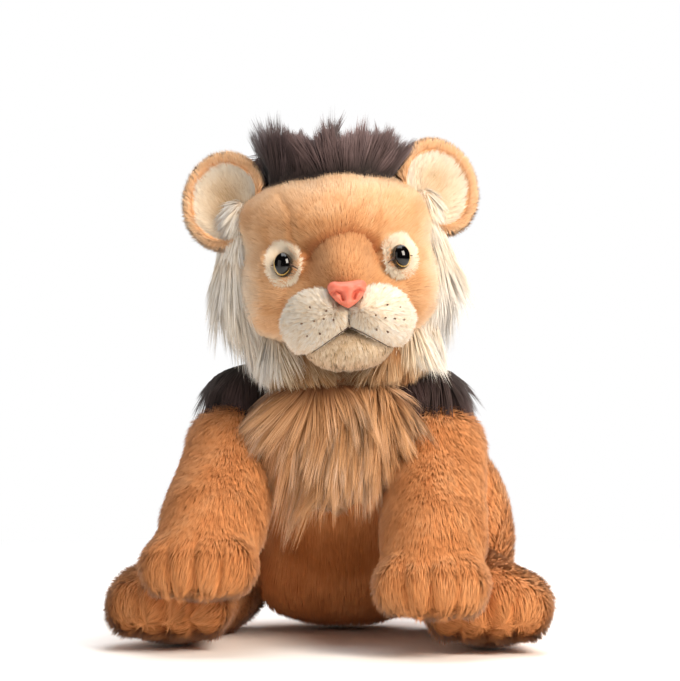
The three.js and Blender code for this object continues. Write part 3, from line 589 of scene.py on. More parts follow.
HEAD, TORSO, CROWN, CAPE, BIB = head_form(), torso_form(), crown_form(), cape_form(), bib_form()
FORELEGS = {side: foreleg_form(side) for side, _ in SIDES}
HINDLEGS = {side: hindleg_form(side) for side, _ in SIDES}
RUFFS = {side: ruff_form(sign) for side, sign in SIDES}
CHIN = Form([lobe(CHIN_AT + (0, -2, 0), CHIN_HALF + (2, 3, 1))], SMALL_ROUND, CHIN_AT, 60)
PADS = {
    side: Form([lobe(PAD_AT * (sign, 1, 1), PAD_HALF)], SMALL_ROUND, PAD_AT * (sign, 1, 1), 49) for side, sign in SIDES
}


def eye_seat(sign):
    """Where an eye sits on the face and the way that it looks, in the head's frame."""
    half = EYE_SPREAD / 2
    flat = unit(np.array((sign * half, -2 * SKULL_HALF[1], 0.0)))
    ahead = unit(np.array((sign * half, -EYE_SPREAD * 0.62, 0.0)))
    at = HEAD.cast(ahead[None])[0]
    ahead = unit(np.array((ahead[0] / (at[0] / (sign * half)), ahead[1], ahead[2])))
    at = HEAD.cast(ahead[None])[0]
    aim = unit(HEAD.normal(at[None])[0] * 0.65 + flat * 0.35)
    return at - aim * EYE_SINK, aim


EYES = {side: eye_seat(sign) for side, sign in SIDES}

# The face: seams as lines on the front view of the head (across, up)
BROW_ARCH = ((-24, 0), (-17, 7.5), (-8, 13), (5, 16), (14, 13.5), (20, 8.5), (23, 3))
FACE_SEAMS = (
    (1.0, BROW_ARCH),
    (0.5, ((-24, 2), (-27, 14), (-28, 28), (-33, 40))),
    (0.5, ((22, 3), (20.5, 12), (22, 20), (28, 34))),
    (0.35, ((-24, -4), (-35, -19), (-38, -34))),
    (0.35, ((25, -4), (37, -19), (41, -34))),
)


def line_distance(across, up, line):
    """How far places on the front view lie from a line of straight pieces."""
    best = np.full(len(across), 1e3)
    for (x0, z0), (x1, z1) in zip(line[:-1], line[1:]):
        along = np.array((x1 - x0, z1 - z0), float)
        share = np.clip(((across - x0) * along[0] + (up - z0) * along[1]) / (along @ along), 0, 1)
        best = np.minimum(best, np.hypot(across - x0 - share * along[0], up - z0 - share * along[1]))
    return best


def on_front(p):
    """1 on the front of the head, falling to 0 towards its middle."""
    return smooth(-15, -35, p[:, 1])


def seam_nearness(p, width):
    """The seam's depth on its line, falling to 0 a few widths away, on the front of the head only."""
    near = [depth * np.exp(-((line_distance(p[:, 0], p[:, 2], line) / width) ** 2)) for depth, line in FACE_SEAMS]
    return np.max(near, axis=0) * on_front(p)


def eye_gap(p):
    """How far points lie from the nearer eye's middle, on the front view."""
    return np.min([np.hypot(p[:, 0] - sign * EYE_SPREAD / 2, p[:, 2]) for _, sign in SIDES], axis=0)


def face_relief(p):
    """How far the face stands out: eye sockets with full rims, pulled-in inner corners, brow, seams and lumps."""
    gap = eye_gap(p)
    beside = (np.abs(p[:, 0]) - EYE_SPREAD / 2) ** 2 / np.maximum(gap * gap, 1e-6)
    sockets = -2.6 * np.exp(-((gap / 13) ** 2)) + (1.2 + 3.0 * beside) * np.exp(-(((gap - 8.5) / 3.5) ** 2))
    corners = sum(
        -3.0 * np.exp(-(((p[:, 0] - sign * 21) / 6) ** 2) - ((p[:, 2] - 2) / 8) ** 2) for _, sign in SIDES
    )
    brow = 2.0 * np.exp(-(((p[:, 2] - 24) / 10) ** 2)) * smooth(45, 20, np.abs(p[:, 0]))
    lumps = 0.7 * noise(p, 16, 5)
    return lumps + on_front(p) * (sockets + corners + brow - 1.8 * seam_nearness(p, 2.2))


def face_tone(p):
    """Tan face: browner on the snout, paler on top, cream towards the ruff, with painted shade along the seams, in a
    band above the brow arch and under the chin.
    """
    x, y, z = np.abs(p[:, 0]), p[:, 1], p[:, 2]
    tone = 0.55 + 0.07 * noise(p, 9, 21) + 0.04 * noise(p, 3.5, 31)
    # Paler on top, with a band of painted shade just above the brow arch.
    tone += 0.14 * smooth(26, 46, z) - 0.10 * np.exp(-(((z - 20) / 6) ** 2)) * smooth(34, 12, x)
    snout = smooth(26, 14, x) * smooth(17, 12, z) * smooth(-40, -52, y)
    tone += snout * (0.42 - tone) * 0.8
    tone += 0.34 * smooth(44, 58, x) * smooth(34, 8, z)
    # Paler low on the sides, and painted shade under the chin.
    tone += 0.30 * smooth(-34, -52, z) * smooth(22, 40, x) - 0.5 * smooth(-46, -56, z) * smooth(46, 34, x)
    # Painted shade along the brow arch and the seams.
    arch_painted_shade = np.exp(-((line_distance(p[:, 0], p[:, 2], BROW_ARCH) / 2.6) ** 2)) * on_front(p)
    return tone - 0.1 * seam_nearness(p, 2.6) - 0.14 * arch_painted_shade


SPAN_POINTS = 16


def tail_path():
    """A smooth curve through the knots of the tail's spine, as points, so many to each span between two knots."""
    knots = np.array(TAIL_SPINE, float)
    knots = np.vstack([2 * knots[0] - knots[1], knots, 2 * knots[-1] - knots[-2]])
    path = []
    for i in range(1, len(knots) - 2):
        p0, p1, p2, p3 = knots[i - 1 : i + 3]
        for t in np.linspace(0, 1, SPAN_POINTS, endpoint=False):
            square, cube = 2 * p0 - 5 * p1 + 4 * p2 - p3, 3 * p1 - 3 * p2 + p3 - p0
            path.append(0.5 * (2 * p1 + (p2 - p0) * t + square * t**2 + cube * t**3))
    return np.array(path + [knots[-2]])


def ringed(rings, ends):
    """A closed body from rings of points and its two end points: points and triangles."""
    count, sides = rings.shape[:2]
    points, faces = np.vstack([rings.reshape(-1, 3), ends]), []
    for r in range(count - 1):
        for k in range(sides):
            a, b = r * sides + k, r * sides + (k + 1) % sides
            faces += [(a, b, b + sides), (a, b + sides, a + sides)]
    last = (count - 1) * sides
    for k in range(sides):
        n = (k + 1) % sides
        faces += [(len(points) - 2, n, k), (len(points) - 1, last + k, last + n)]
    return points, np.array(faces)


def tube(path, radii, sides, turn_flat=(0, 0, 1)):
    """A closed tube along a path."""
    tangents = unit(np.gradient(path, axis=0))
    across = unit(np.cross(np.array(turn_flat, float), tangents))
    other = np.cross(tangents, across)
    angles = np.arange(sides) * 2 * math.pi / sides
    rings = path[:, None] + np.asarray(radii)[:, None, None] * (
        np.cos(angles)[None, :, None] * across[:, None] + np.sin(angles)[None, :, None] * other[:, None]
    )
    return ringed(rings, path[[0, -1]])


def turned(profile, sides):
    """A closed turned body about the Z axis from radius and height pairs, both ends on the axis."""
    inner = np.array(profile[1:-1], float)
    angles = np.arange(sides) * 2 * math.pi / sides
    rings = np.stack(
        [inner[:, :1] * np.cos(angles), inner[:, :1] * np.sin(angles), np.repeat(inner[:, 1:], sides, 1)], axis=2
    )
    return ringed(rings, np.array(((0, 0, profile[0][1]), (0, 0, profile[-1][1])), float))


def aimed(points, at, aim):
    """Turns a body built about Z so that it looks along aim, its own up kept upright, and puts it at a place."""
    across = unit(np.cross(UP, aim))
    up = np.cross(aim, across)
    return points @ np.stack([across, up, aim]) + at


# Materials of the lion. The stops of a pile go from its darkest tone to its lightest.

# The darkest stops of the face, the body, the cream and the ruff are reached mostly where a tone lays painted shade: in
# the seams, under the chin, low between the legs and deep in the ears.
MANE_STOPS = ((0.0, "#1B1210"), (0.4, "#42302D"), (0.7, "#665252"), (1.0, "#9A8484"))
RUFF_STOPS = ((0.0, "#80552F"), (0.2, "#B5875A"), (0.45, "#E6CDAB"), (0.68, "#FAF0E0"), (1.0, "#FFFFFF"))
BIB_STOPS = ((0.0, "#8A5C36"), (0.4, "#C08A58"), (0.7, "#E0AC7C"), (1.0, "#FFDFC2"))
CREAM_STOPS = ((0.0, "#2E1D14"), (0.15, "#5A3F2C"), (0.3, "#DDBF98"), (0.6, "#FAE9D0"), (1.0, "#FFFDF7"))
FACE_STOPS = (
    (0.0, "#7A4A26"), (0.3, "#C68450"), (0.5, "#E5AD78"), (0.7, "#F8D0A6"), (0.85, "#FCE3C6"), (1.0, "#FFF5E8"),
)
BODY_STOPS = ((0.0, "#74381A"), (0.3, "#C6783A"), (0.55, "#EFA264"), (0.8, "#FFC48E"), (1.0, "#FFE0B8"))


def lion_materials(dyes):
    return {
        # The third colour of each pile is the painted shade at its root.
        # Cut short: a soft matt coat in which single hairs and the lie of the nap still show
        "face": pile_material("short plush pile, tan face", FACE_STOPS, "#C9A68C", dyes.face_dye),
        "body": pile_material("short plush pile, orange-tan body", BODY_STOPS, "#DDC4B0", dyes.body_dye),
        "cream": pile_material("short dense plush pile, cream", CREAM_STOPS, "#D8C6B4", dyes.cream_dye),
        # Left long: locks with dark gaps between them, partly cast shadow and partly painted shade at the roots,
        # whose tips catch the light
        "mane": pile_material("long shaggy pile, dark mane", MANE_STOPS, "#6A5856", dyes.mane_dye),
        "ruff": pile_material("long soft pile, cream ruff", RUFF_STOPS, "#BCA792", dyes.ruff_dye),
        "bib": pile_material("long wavy pile, brown bib with pale tips", BIB_STOPS, "#9C7C62", dyes.bib_dye),
        # Knitted backings: seen between the hairs alone, where they carry the colour of the pile into its gaps. The
        # number is the width of the mottling in millimetres, and a second one the roughness.
        "body_cloth": cloth_material("knitted backing, orange-tan", "#BC7438", "#DD9452", 1.2),
        "face_cloth": cloth_material("knitted backing, tan", "#CC8F5A", "#E8B482", 1.2),
        "cream_cloth": cloth_material("knitted backing, cream", "#E2CCB0", "#F6E6CF", 1.0),
        "mane_cloth": cloth_material("knitted backing, dark brown", "#1D1413", "#33251F", 1.4),
        "ruff_cloth": cloth_material("knitted backing, ivory", "#C9B7A1", "#E3D5C3", 1.4),
        "bib_cloth": cloth_material("knitted backing, light brown", "#85603F", "#A47C57", 1.4),
        # Crimped fibre: a white mass, cloudy like wool
        "fibre": cloth_material("polyester fibre filling", "#E4E2DC", "#FBFAF6", 2.5),
        # Plain weave: a dull grey-white with a fine grain
        "bag": cloth_material("woven pellet bag", "#B9B1A2", "#D8D1C4", 0.8),
        # Moulded soft vinyl: satin, with a broad weak highlight
        "nose": vinyl_material(
            "soft vinyl nose, salmon pink", "#CC6650", "#DB7E68",
            cell_mm=6, roughness=0.45, coat=0.05, dye=dyes.nose_dye,
        ),
        # Polished: near black, and sharp highlights that make the eye look wet
        "pupil": vinyl_material(
            "polished black eye dome", "#040303", "#080606", cell_mm=4, roughness=0.05, coat=0.15
        ),
        # Printed foil: a warm gold glint round the pupil
        "iris": vinyl_material(
            "gold foil ring under the dome", "#8A6A2C", "#D8B664", cell_mm=0.8, roughness=0.3, coat=0.6
        ),
        # Twisted thread: dull dark lines and knots that are sunk into the pile
        "thread": cloth_material("embroidery thread, dark brown", "#2E1A10", "#4A2E1E", 0.5, 0.7),
        "dots": cloth_material("embroidery thread, light brown", "#54391F", "#6E4C30", 0.5, 0.8),
        # Pressed polypropylene: a waxy white
        "washer": vinyl_material(
            "pressed washer, white polypropylene", "#DAD8D0", "#F0EEE8", cell_mm=5, roughness=0.4, coat=0.0
        ),
    }


class Lion:
    """What the operators share in one run: the materials, made when the first piece asks for one."""

    materials = {}


def materials():
    if not Lion.materials:
        Lion.materials = lion_materials(bpy.context.scene.plush_lion_dyes)
    return Lion.materials


# Pieces

# The skin of short pile lies inside its solid by this share of the pile's length, and the filling by this depth.
UNDER_PILE, FILLING_DEPTH = 0.7, 9

# How many hairs are sown on each skin, before the hidden ones are left out
HAIRS = {
    "torso": 62000,
    "leg": 50000,
    "tail": 9000,
    "tuft": 5200,
    "half head": 150000,
    "eye patch": 5200,
    "muzzle pad": 30000,
    "chin": 26000,
    "ear": 42000,
    "lining": 14000,
    "lining wisps": 1100,
    "half ruff": 18000,
    "crest": 56000,
    "nape": 17000,
    "cape": 25000,
    "half bib": 30000,
}


def outside(p, margin, *forms):
    """Whether points lie further out of all the forms than a margin; one below 0 lets them reach in."""
    return np.all([form.distance(p) > margin for form in forms], axis=0)


def lie_along(*way):
    """A groom that lays all the pile one way."""
    return lambda p: np.array(way) + 0.0 * p


def pressed(skin, highest):
    """Presses the part of a pad above a height down to it, where the head or the crest rests."""
    points, triangles = skin
    points = points.copy()
    points[:, 2] = np.minimum(points[:, 2], highest)
    return points, triangles


def add_filling(body, form, replaced):
    add_skin(f"{body}_fibre", body, "fibre", form.surface(COARSE, grow=-FILLING_DEPTH), replaced)


def build_torso(settings):
    """The torso of short pile, with painted shade low between the legs, and its filling and the pellet pouch in the
    rump.
    """
    pile = settings.body_pile / MM
    skin = TORSO.surface(FINE, grow=-pile * UNDER_PILE, relief=lambda p: 0.8 * noise(p, 22, 2))
    add_skin("torso_plush", "torso", "body_cloth", skin, replaced="torso_skin")
    add_filling("torso", TORSO, "torso_filling")
    pouch = Form([lobe(POUCH_AT, POUCH_HALF)], SMALL_ROUND, POUCH_AT, 66)
    add_skin("rump_pellet_pouch", "torso", "bag", pouch.surface(COARSE), replaced="rump_pellet_bag")

    def tone(p):
        # Painted shade: darker low on the belly between the legs.
        belly_painted_shade = smooth(-40, -60, p[:, 1]) * smooth(60, 30, np.abs(p[:, 0])) * smooth(95, 60, p[:, 2])
        return 0.53 + 0.08 * noise(p, 13, 4) + 0.04 * noise(p, 4, 7) - 0.22 * belly_painted_shade

    coat(
        "torso_pile", "torso", "body", skin, HAIRS["torso"], groom=lie_along(0, 0.25, -1.0), length=pile, width=1.15,
        tone=tone, lift=0.36, spread=0.12, droop=0.35, speckle=0.025, shade_by_skin=0.92,
        keep=lambda p: outside(p, -2.0, *FORELEGS.values(), *HINDLEGS.values(), CAPE, BIB),
    )


# The sewn clefts between the toes, as shares of the paw's half width
CLEFTS = (-0.42, 0.0, 0.42)


def build_leg(kind, side, form, root, paw, half, settings, rise):
    """A stuffed leg. Rise gives how far its pile lies upward, by the share of the way to the paw."""
    body, pile = f"{kind}_{side}", settings.body_pile / MM
    root, paw = np.array(root, float), np.array(paw, float)
    axis = unit(paw - root)

    def along_leg(p):
        return np.clip((p - root) @ (paw - root) / np.sum((paw - root) ** 2), 0, 1)

    def cleft(p, width, depth):
        """The depth on the clefts at the front of the paw, falling to 0 a few widths beside them."""
        q = (p - paw) / half
        gap = np.min([np.abs(q[:, 0] - at) for at in CLEFTS], axis=0) * half[0]
        return depth * np.exp(-((gap / width) ** 2)) * smooth(-0.4, -0.75, q[:, 1])

    def relief(p):
        along = along_leg(p)
        fuller = pile * 0.45 * smooth(0.95, 0.65, along) * smooth(0.0, 0.3, along)
        return 0.8 * noise(p, 18, 6) - cleft(p, 2.4, 1.6) + fuller

    def groom(p):
        along = along_leg(p)[:, None]
        return axis * (0.6 + 0.4 * along) + UP * rise(along)

    def tone(p):
        # Painted shade: darker low by the floor and in the clefts between the toes.
        under = smooth(24, 6, p[:, 2]) * 0.10
        return 0.55 + 0.08 * noise(p, 12, 14) + 0.05 * noise(p, 3.5, 17) - under - cleft(p, 1.7, 0.12)

    skin = form.surface(FINE, grow=-pile * UNDER_PILE, relief=relief)
    add_skin(f"{body}_plush", body, "body_cloth", skin, replaced=body)
    add_filling(body, form, f"{kind}_filling_{side}")
    coat(
        f"{body}_pile", body, "body", skin, HAIRS["leg"], groom=groom, length=pile, width=0.9, tone=tone,
        lift=0.36, spread=0.12, speckle=0.025, shade_by_skin=0.92, keep=lambda p: outside(p, -pile - 2, TORSO),
    )


def build_forelegs(settings):
    def rise(along):
        return -0.45 * (1 - along * 0.5)

    for side, _ in SIDES:
        build_leg("foreleg", side, FORELEGS[side], SHOULDER[side], FOREPAW[side], FOREPAW_HALF, settings, rise)


def build_hindlegs(settings):
    def rise(along):
        return 0.8 * (1 - along) ** 2

    for side, _ in SIDES:
        build_leg("hindleg", side, HINDLEGS[side], HIP[side], HINDPAW[side], HINDPAW_HALF, settings, rise)


def build_tail(settings):
    """A rolled strip of plush with nothing inside, and the dark tuft at its end."""
    pile = settings.body_pile / MM * 0.7
    path = tail_path()
    path = path[: int(len(path) * 0.95)]
    radii = np.interp(np.linspace(0, 1, len(path)), (0, 0.2, 1), (13, 9.5, 7.5)) - pile * 0.6
    skin = tube(path, radii, 20)
    add_skin("tail_plush", "tail", "body_cloth", skin, replaced="tail")
    tangents = unit(np.gradient(path, axis=0))
    coat(
        "tail_pile", "tail", "body", skin, HAIRS["tail"], groom=lambda p: tangents[nearest(p, path)],
        length=pile, width=1.2, tone=lambda p: 0.52 + 0.08 * noise(p, 9, 3), lift=0.35,
    )
    tuft = tuft_form().surface(MEDIUM, grow=-7)
    add_skin("tail_tuft_pad", "tail", "mane_cloth", tuft, replaced="tail_tuft")
    coat(
        "tail_tuft_pile", "tail", "mane", tuft, HAIRS["tuft"], groom=lie_along(*unit(path[-1] - path[-6])),
        length=19, width=1.3, tone=lambda p: 0.42 + 0.2 * noise(p, 6, 5), keep=lambda p: p[:, 2] > 4,
        rings=3, lift=0.25, spread=0.2, clump=0.4, clump_size=5, droop=0.2,
    )


def nose_front():
    root = HEAD.cast(unit(np.array((0, -2 * SKULL_HALF[1] * 0.7, -NOSE_DROP)))[None])[0]
    return root + np.array((0, -NOSE_PROUD, 0))


def build_head(settings):
    """The face. Its pile lies away from the nose, back under the chin, and is short round the nose."""
    pile = settings.face_pile / MM
    skin = HEAD.surface(FINEST, grow=-pile * UNDER_PILE, relief=face_relief)
    add_skin("head_plush", "head", "face_cloth", skin, replaced="head_skin")
    add_filling("head", HEAD, "head_filling")
    nose = nose_front() + np.array((0, 14, 2))

    def groom(p):
        under = smooth(-42, -56, p[:, 2])[:, None]
        return (p - nose + (0, 0, 6)) * (1 - under) + np.array((0, 30, -60)) * under

    def shown(p):
        free = outside(p, -14, CROWN) & outside(p, -12, *RUFFS.values()) & outside(p, -2, *PADS.values(), CHIN)
        patch = np.any([in_patch(p, sign) for _, sign in SIDES], axis=0)
        return free & ~patch & (p[:, 2] > np.where(p[:, 1] < -10, -84, -62))

    def length(p):
        near = smooth(4, 22, np.linalg.norm(p - nose, axis=1) - 8)
        longer = 0.4 * smooth(38, 50, p[:, 2]) + 0.6 * smooth(42, 60, np.abs(p[:, 0])) + 1.3 * smooth(-56, -66, p[:, 2])
        return pile * (0.55 + 0.4 * near + longer)

    for side, sign in reversed(SIDES):
        coat(
            f"head_pile_{side}", "head", "face", skin, HAIRS["half head"], groom=groom, length=length, width=0.72,
            tone=face_tone, lift=0.36, spread=0.2, clump_size=5, speckle=0.03,
            keep=lambda p: shown(p) & (sign * p[:, 0] >= 0),
        )
    build_eye_patches(skin, pile)


def in_patch(p, sign, grow=0.0):
    """Whether points lie in the oval of cream plush round an eye, made larger all round by a measure."""
    x, z = p[:, 0] - sign * (EYE_SPREAD / 2 + 1), p[:, 2] - 0.5
    return ((x / (8.0 + grow)) ** 2 + (z / (11.0 + grow)) ** 2 < 1) & (p[:, 1] < -15)


def build_eye_patches(skin, pile):
    """Ovals of cream plush let into the face, whose pile lies away from the eyes."""
    points, triangles = skin
    normals = vertex_normals(points, triangles)
    for side, sign in SIDES:
        seat = EYES[side][0]
        inside = in_patch(points[triangles].mean(axis=1), sign, 1.0)
        used, local = np.unique(triangles[inside], return_inverse=True)
        oval = (points[used] + normals[used] * 0.35, local.reshape(-1, 3))
        add_skin(f"eye_patch_{side}_plush", "head", "cream_cloth", oval, replaced=f"eye_patch_{side}")
        coat(
            f"eye_patch_{side}_pile", "head", "cream", oval, HAIRS["eye patch"], groom=lambda p: p - seat,
            length=pile * 0.7, width=0.7, tone=lambda p: 0.66 + 0.08 * noise(p, 5, 8),
            keep=lambda p: np.hypot((p[:, 0] - seat[0]) / 0.66, p[:, 2] - seat[2]) > EYE_RADIUS * 0.95,
            lift=0.42, spread=0.15, droop=0.2, clump_size=4, speckle=0.03,
        )


def mouth_line(x):
    """How far up the mouth's line lies on the front view of the head, at a place across it."""
    return -41.0 - 0.56 * np.abs(x) - 0.002 * x * x


def pad_relief(p):
    """The pads end at the mouth, where the thread pulls them in over the chin."""
    below = mouth_line(p[:, 0]) - p[:, 2]
    inner = smooth(34, 24, np.abs(p[:, 0])) * smooth(-50, -60, p[:, 1])
    return 0.4 * noise(p, 10, 33) - inner * (6.0 * smooth(-1.0, 6.5, below) + 1.4 * np.exp(-((below / 3.0) ** 2)))


def build_muzzle(settings):
    """Two stuffed pads and the chin, whose pile is short by the mouth and between the pads."""
    pile = settings.face_pile / MM * 0.85
    nose = nose_front()

    def pad_length(p):
        by_mouth = 0.35 + 0.65 * smooth(0.5, 8, np.abs(mouth_line(p[:, 0]) - p[:, 2]))
        by_middle = 0.5 + 0.5 * smooth(1, 7, np.abs(p[:, 0]))
        return 1.12 * (pile * by_mouth * by_middle)

    def pad_tone(p):
        # Painted shade: the pads are darker low down and towards their back.
        low = smooth(-44, -58, p[:, 2]) * 0.12 + smooth(-60, -45, p[:, 1]) * 0.15
        return 0.73 + 0.05 * noise(p, 6, 12) + 0.06 * noise(p, 1.6, 15) - low

    def chin_tone(p):
        # Painted shade low under the chin; darker at the sides as well.
        low, beside = 0.14 * smooth(-56, -68, p[:, 2]), 0.08 * smooth(16, 27, np.abs(p[:, 0]))
        return 0.43 + 0.08 * noise(p, 5, 13) - low - beside

    for side, sign in SIDES:
        skin = PADS[side].surface(FINE, grow=-pile * 0.5, relief=pad_relief)
        add_skin(f"muzzle_pad_{side}_plush", "head", "cream_cloth", skin, replaced=f"muzzle_pad_{side}")
        coat(
            f"muzzle_pad_{side}_pile", "head", "cream", skin, HAIRS["muzzle pad"], groom=lambda p: p - nose,
            length=pad_length, width=0.62, tone=pad_tone, keep=lambda p: outside(p, -6, HEAD) & (sign * p[:, 0] > 1.3),
            lift=0.6, spread=0.34, droop=0.25, clump=0.4, clump_size=3, tufts=0.2, speckle=0.09, shade_by_skin=0.6,
        )
    skin = CHIN.surface(FINE, grow=-pile * 0.5)
    add_skin("chin_plush", "head", "cream_cloth", skin, replaced="chin")
    coat(
        "chin_pile", "head", "cream", skin, HAIRS["chin"], groom=lie_along(0, 0.2, -1.0), width=0.66, tone=chin_tone,
        length=lambda p: pile * (0.45 + 0.4 * smooth(1, 8, mouth_line(p[:, 0]) - p[:, 2])),
        keep=lambda p: outside(p, -7, *PADS.values()) & outside(p, -6, HEAD),
        lift=0.42, spread=0.28, clump=0.25, clump_size=3, tufts=0.2, speckle=0.07, shade_by_skin=0.7,
    )
    build_mouth()
    build_whisker_dots()


def pad_front(x, z, out):
    """The points on the front of the pads and the chin seen at places of the front view, moved out by a measure."""
    forms = (*PADS.values(), CHIN)
    low, high = np.full(len(x), -100.0), np.full(len(x), -40.0)
    for _ in range(FRONT_STEPS):
        middle = (low + high) / 2
        inside = ~outside(np.stack([x, middle, z], axis=1), 0, *forms)
        high, low = np.where(inside, middle, high), np.where(inside, low, middle)
    return np.stack([x, high - out, z], axis=1)


def build_mouth():
    """The mouth is drawn by thread: one line down from the nose and one to each side, pulled into the pile."""
    down = np.linspace(-29, -41, 8)
    across = np.linspace(0, 25, 20)
    lines = (
        ("middle", 0 * down, down, 0.3, 0.5),
        ("left", across, mouth_line(across), -0.2, 0.36),
        ("right", -across, mouth_line(across), -0.2, 0.36),
    )
    for name, x, z, out, radius in lines:
        path = pad_front(x, z, out)
        path = np.stack([np.convolve(np.pad(path[:, k], 2, "edge"), np.ones(5) / 5, "valid") for k in range(3)], 1)
        radii = radius * (1.1 - 0.6 * np.linspace(0, 1, len(path)))
        add_skin(f"mouth_thread_{name}", "head", "thread", tube(path, radii, 8, (0, 1, 0)))


# Knots of thread on each pad, on the front view of the head, and their profile
WHISKER_DOTS = {
    "left": ((24, -29), (32, -31), (16, -35), (22, -37), (28, -38), (34, -39), (16, -44), (23, -46)),
    "right": ((-24, -27), (-14, -30), (-30, -37), (-22, -36), (-16, -35), (-10, -36), (-27, -45), (-19, -44)),
}
DOT_PROFILE, DOT_OUT = ((0, -1.5), (0.5, -1.5), (0.62, 0), (0.4, 0.3), (0, 0.4)), 2.2


def build_whisker_dots():
    """Small knots of thread, which stand for the roots of whiskers, in the pile of each pad."""
    knot, faces = turned(DOT_PROFILE, 10)
    for side, sign in SIDES:
        seats = pad_front(*np.array(WHISKER_DOTS[side], float).T, DOT_OUT)
        aims = unit(seats - PAD_AT * (sign, 1, 1))
        points = np.vstack([aimed(knot, seat, aim) for seat, aim in zip(seats, aims)])
        triangles = np.vstack([faces + k * len(knot) for k in range(len(seats))])
        add_skin(f"whisker_dots_{side}", "head", "dots", (points, triangles))


# The parts of an eye from the back: name, where its edge lies as a share of the eye's radius, how far it stands
# out before the dome, and its look. The pupil sits off centre, so that the gold ring shows on the outer side.
EYE_BANDS = (("rim", 1.0, 0.0, "pupil"), ("ring", 0.92, 0.10, "iris"), ("pupil", 0.865, 0.20, "pupil"))
EYE_OVAL, PUPIL_SHIFT = (0.8, 1.04, 1), np.array((-0.42, 0.2, 0.34))
EYE_BACK, EYE_STEPS = -2.0, 16


def build_eyes(settings):
    """Safety eyes: a polished dome over a gold ring round the black pupil."""
    for side, sign in SIDES:
        seat, aim = EYES[side]
        for band, outer, lift, look in EYE_BANDS:
            rim = band == "rim"
            first = math.acos(outer)
            angles = [first + (math.pi / 2 - first) * i / EYE_STEPS for i in range(EYE_STEPS)]
            dome = [(EYE_RADIUS * math.cos(angle), EYE_DOME * math.sin(angle) + lift) for angle in angles]
            edge = (outer * EYE_RADIUS, EYE_BACK if rim else 0.0)
            points, triangles = turned([(0, EYE_BACK), edge, *dome, (0, EYE_DOME + lift)], 48)
            points = points * EYE_OVAL + (PUPIL_SHIFT * (sign, 1, 1) if band == "pupil" else 0)
            skin = (aimed(points, seat, aim), triangles)
            add_skin(f"eye_{side}_{band}", "head", look, skin, replaced=f"eye_{side}" if rim else None)
        build_eye_stitch(side, -sign, "inner", 6.0, 3.0)
        build_eye_stitch(side, sign, "outer", 4.0, 0.2)


def build_eye_stitch(side, sign, corner, reach, fall):
    """A stitch of dark thread that runs out from an eye's corner and sinks into the skin."""
    seat, steps = EYES[side][0], np.linspace(0, 1, 8)
    across = seat[0] + sign * (EYE_RADIUS * 0.72 + steps * reach)
    p = np.stack([across, np.full(len(steps), seat[1]), seat[2] - steps * fall], axis=1)
    on_face = HEAD.cast(unit(p - HEAD.core))
    path = on_face + HEAD.normal(on_face) * (1.6 - steps[:, None])
    add_skin(f"eye_{side}_{corner}_stitch", "head", "thread", tube(path, 0.7 - 0.45 * steps, 8))


def nose_outline(count):
    """The nose seen from the front: a rounded triangle, as points on five curves between knots."""
    half, top = NOSE_HALF
    curves = (
        ((0, -top), (half * 0.55, -top * 0.7), (half * 0.9, top * 0.2)),
        ((half * 0.9, top * 0.2), (half * 1.08, top * 0.95), (half * 0.6, top)),
        ((half * 0.6, top), (0, top * 0.86), (-half * 0.6, top)),
        ((-half * 0.6, top), (-half * 1.08, top * 0.95), (-half * 0.9, top * 0.2)),
        ((-half * 0.9, top * 0.2), (-half * 0.55, -top * 0.7), (0, -top)),
    )
    points = []
    for a, b, c in curves:
        for t in np.linspace(0, 1, count, endpoint=False):
            points.append((1 - t) ** 2 * np.array(a) + 2 * t * (1 - t) * np.array(b) + t * t * np.array(c))
    return np.array(points)


NOSE_BACK, NOSE_EDGE, NOSE_MIDDLE = -15.0, -5.0, 0.9


def build_nose(settings):
    """The vinyl nose: a rounded triangle with a soft edge and two comma nostrils sunk into it."""
    top = NOSE_HALF[1]
    outline, rings = nose_outline(20), 36
    shares = np.concatenate([[1.0], 1 - (np.arange(rings) / rings) ** 1.4])
    edge = 1 - shares[1:]
    depths = np.concatenate([[NOSE_BACK], NOSE_EDGE * (1 - np.minimum(edge / 0.5, 1)) ** 2.2])
    points = np.vstack([np.column_stack([outline * s, np.full(len(outline), d)]) for s, d in zip(shares, depths)])
    comma = np.array(((0.26, -0.30), (0.34, 0.10), (0.56, 0.26), (0.86, 0.05))) * NOSE_HALF
    gap = line_distance(np.abs(points[:, 0]), points[:, 1], comma)
    face = points[:, 2] > NOSE_EDGE - 1
    points[:, 2] -= face * (3.4 * np.exp(-((gap / 1.15) ** 2)) + 1.6 * smooth(-top * 0.2, -top, points[:, 1]))
    points[:, 2] += face * NOSE_MIDDLE * np.exp(-((points[:, 0] / 2.6) ** 2))
    ends = ((0, 0, NOSE_BACK), (0, 0, NOSE_MIDDLE))
    points, triangles = ringed(points.reshape(rings + 1, len(outline), 3), ends)
    upright = np.column_stack([points[:, 0], -points[:, 2], points[:, 1]]) + nose_front()
    add_skin("nose_vinyl", "head", "nose", (upright, triangles), replaced="nose")


EAR_AT, EAR_SPLAY, EAR_TILT, EAR_FRONT = np.array((64, 10, 40)), 20, 78, 0.82


def ear_dish(turn, at, size, wall, lift, roll=0.0, level=24):
    """A dished oval shell whose edge can roll towards the front, closed: back, rim and front."""
    radii = np.concatenate([np.linspace(0, 1, level)[1:], np.linspace(1, 0, level)[:-1]])
    front = np.concatenate([np.zeros(level - 1), np.ones(level - 1)])
    edge = np.sqrt(np.clip(1 - radii**8, 0, 1))
    height = EAR_CUP * (radii * size) ** 2 + lift + (front * 2 - 1) * wall / 2 * edge
    height = height + roll * smooth(0.76, 0.92, radii) * front * edge
    profile = [(0, lift - wall / 2)] + list(zip(radii, height)) + [(0, lift + wall / 2)]
    points, triangles = turned(profile, 56)
    points = points * (EAR_HALF[0] * size, EAR_HALF[1] * size, 1)
    return points @ turn.T + at, triangles


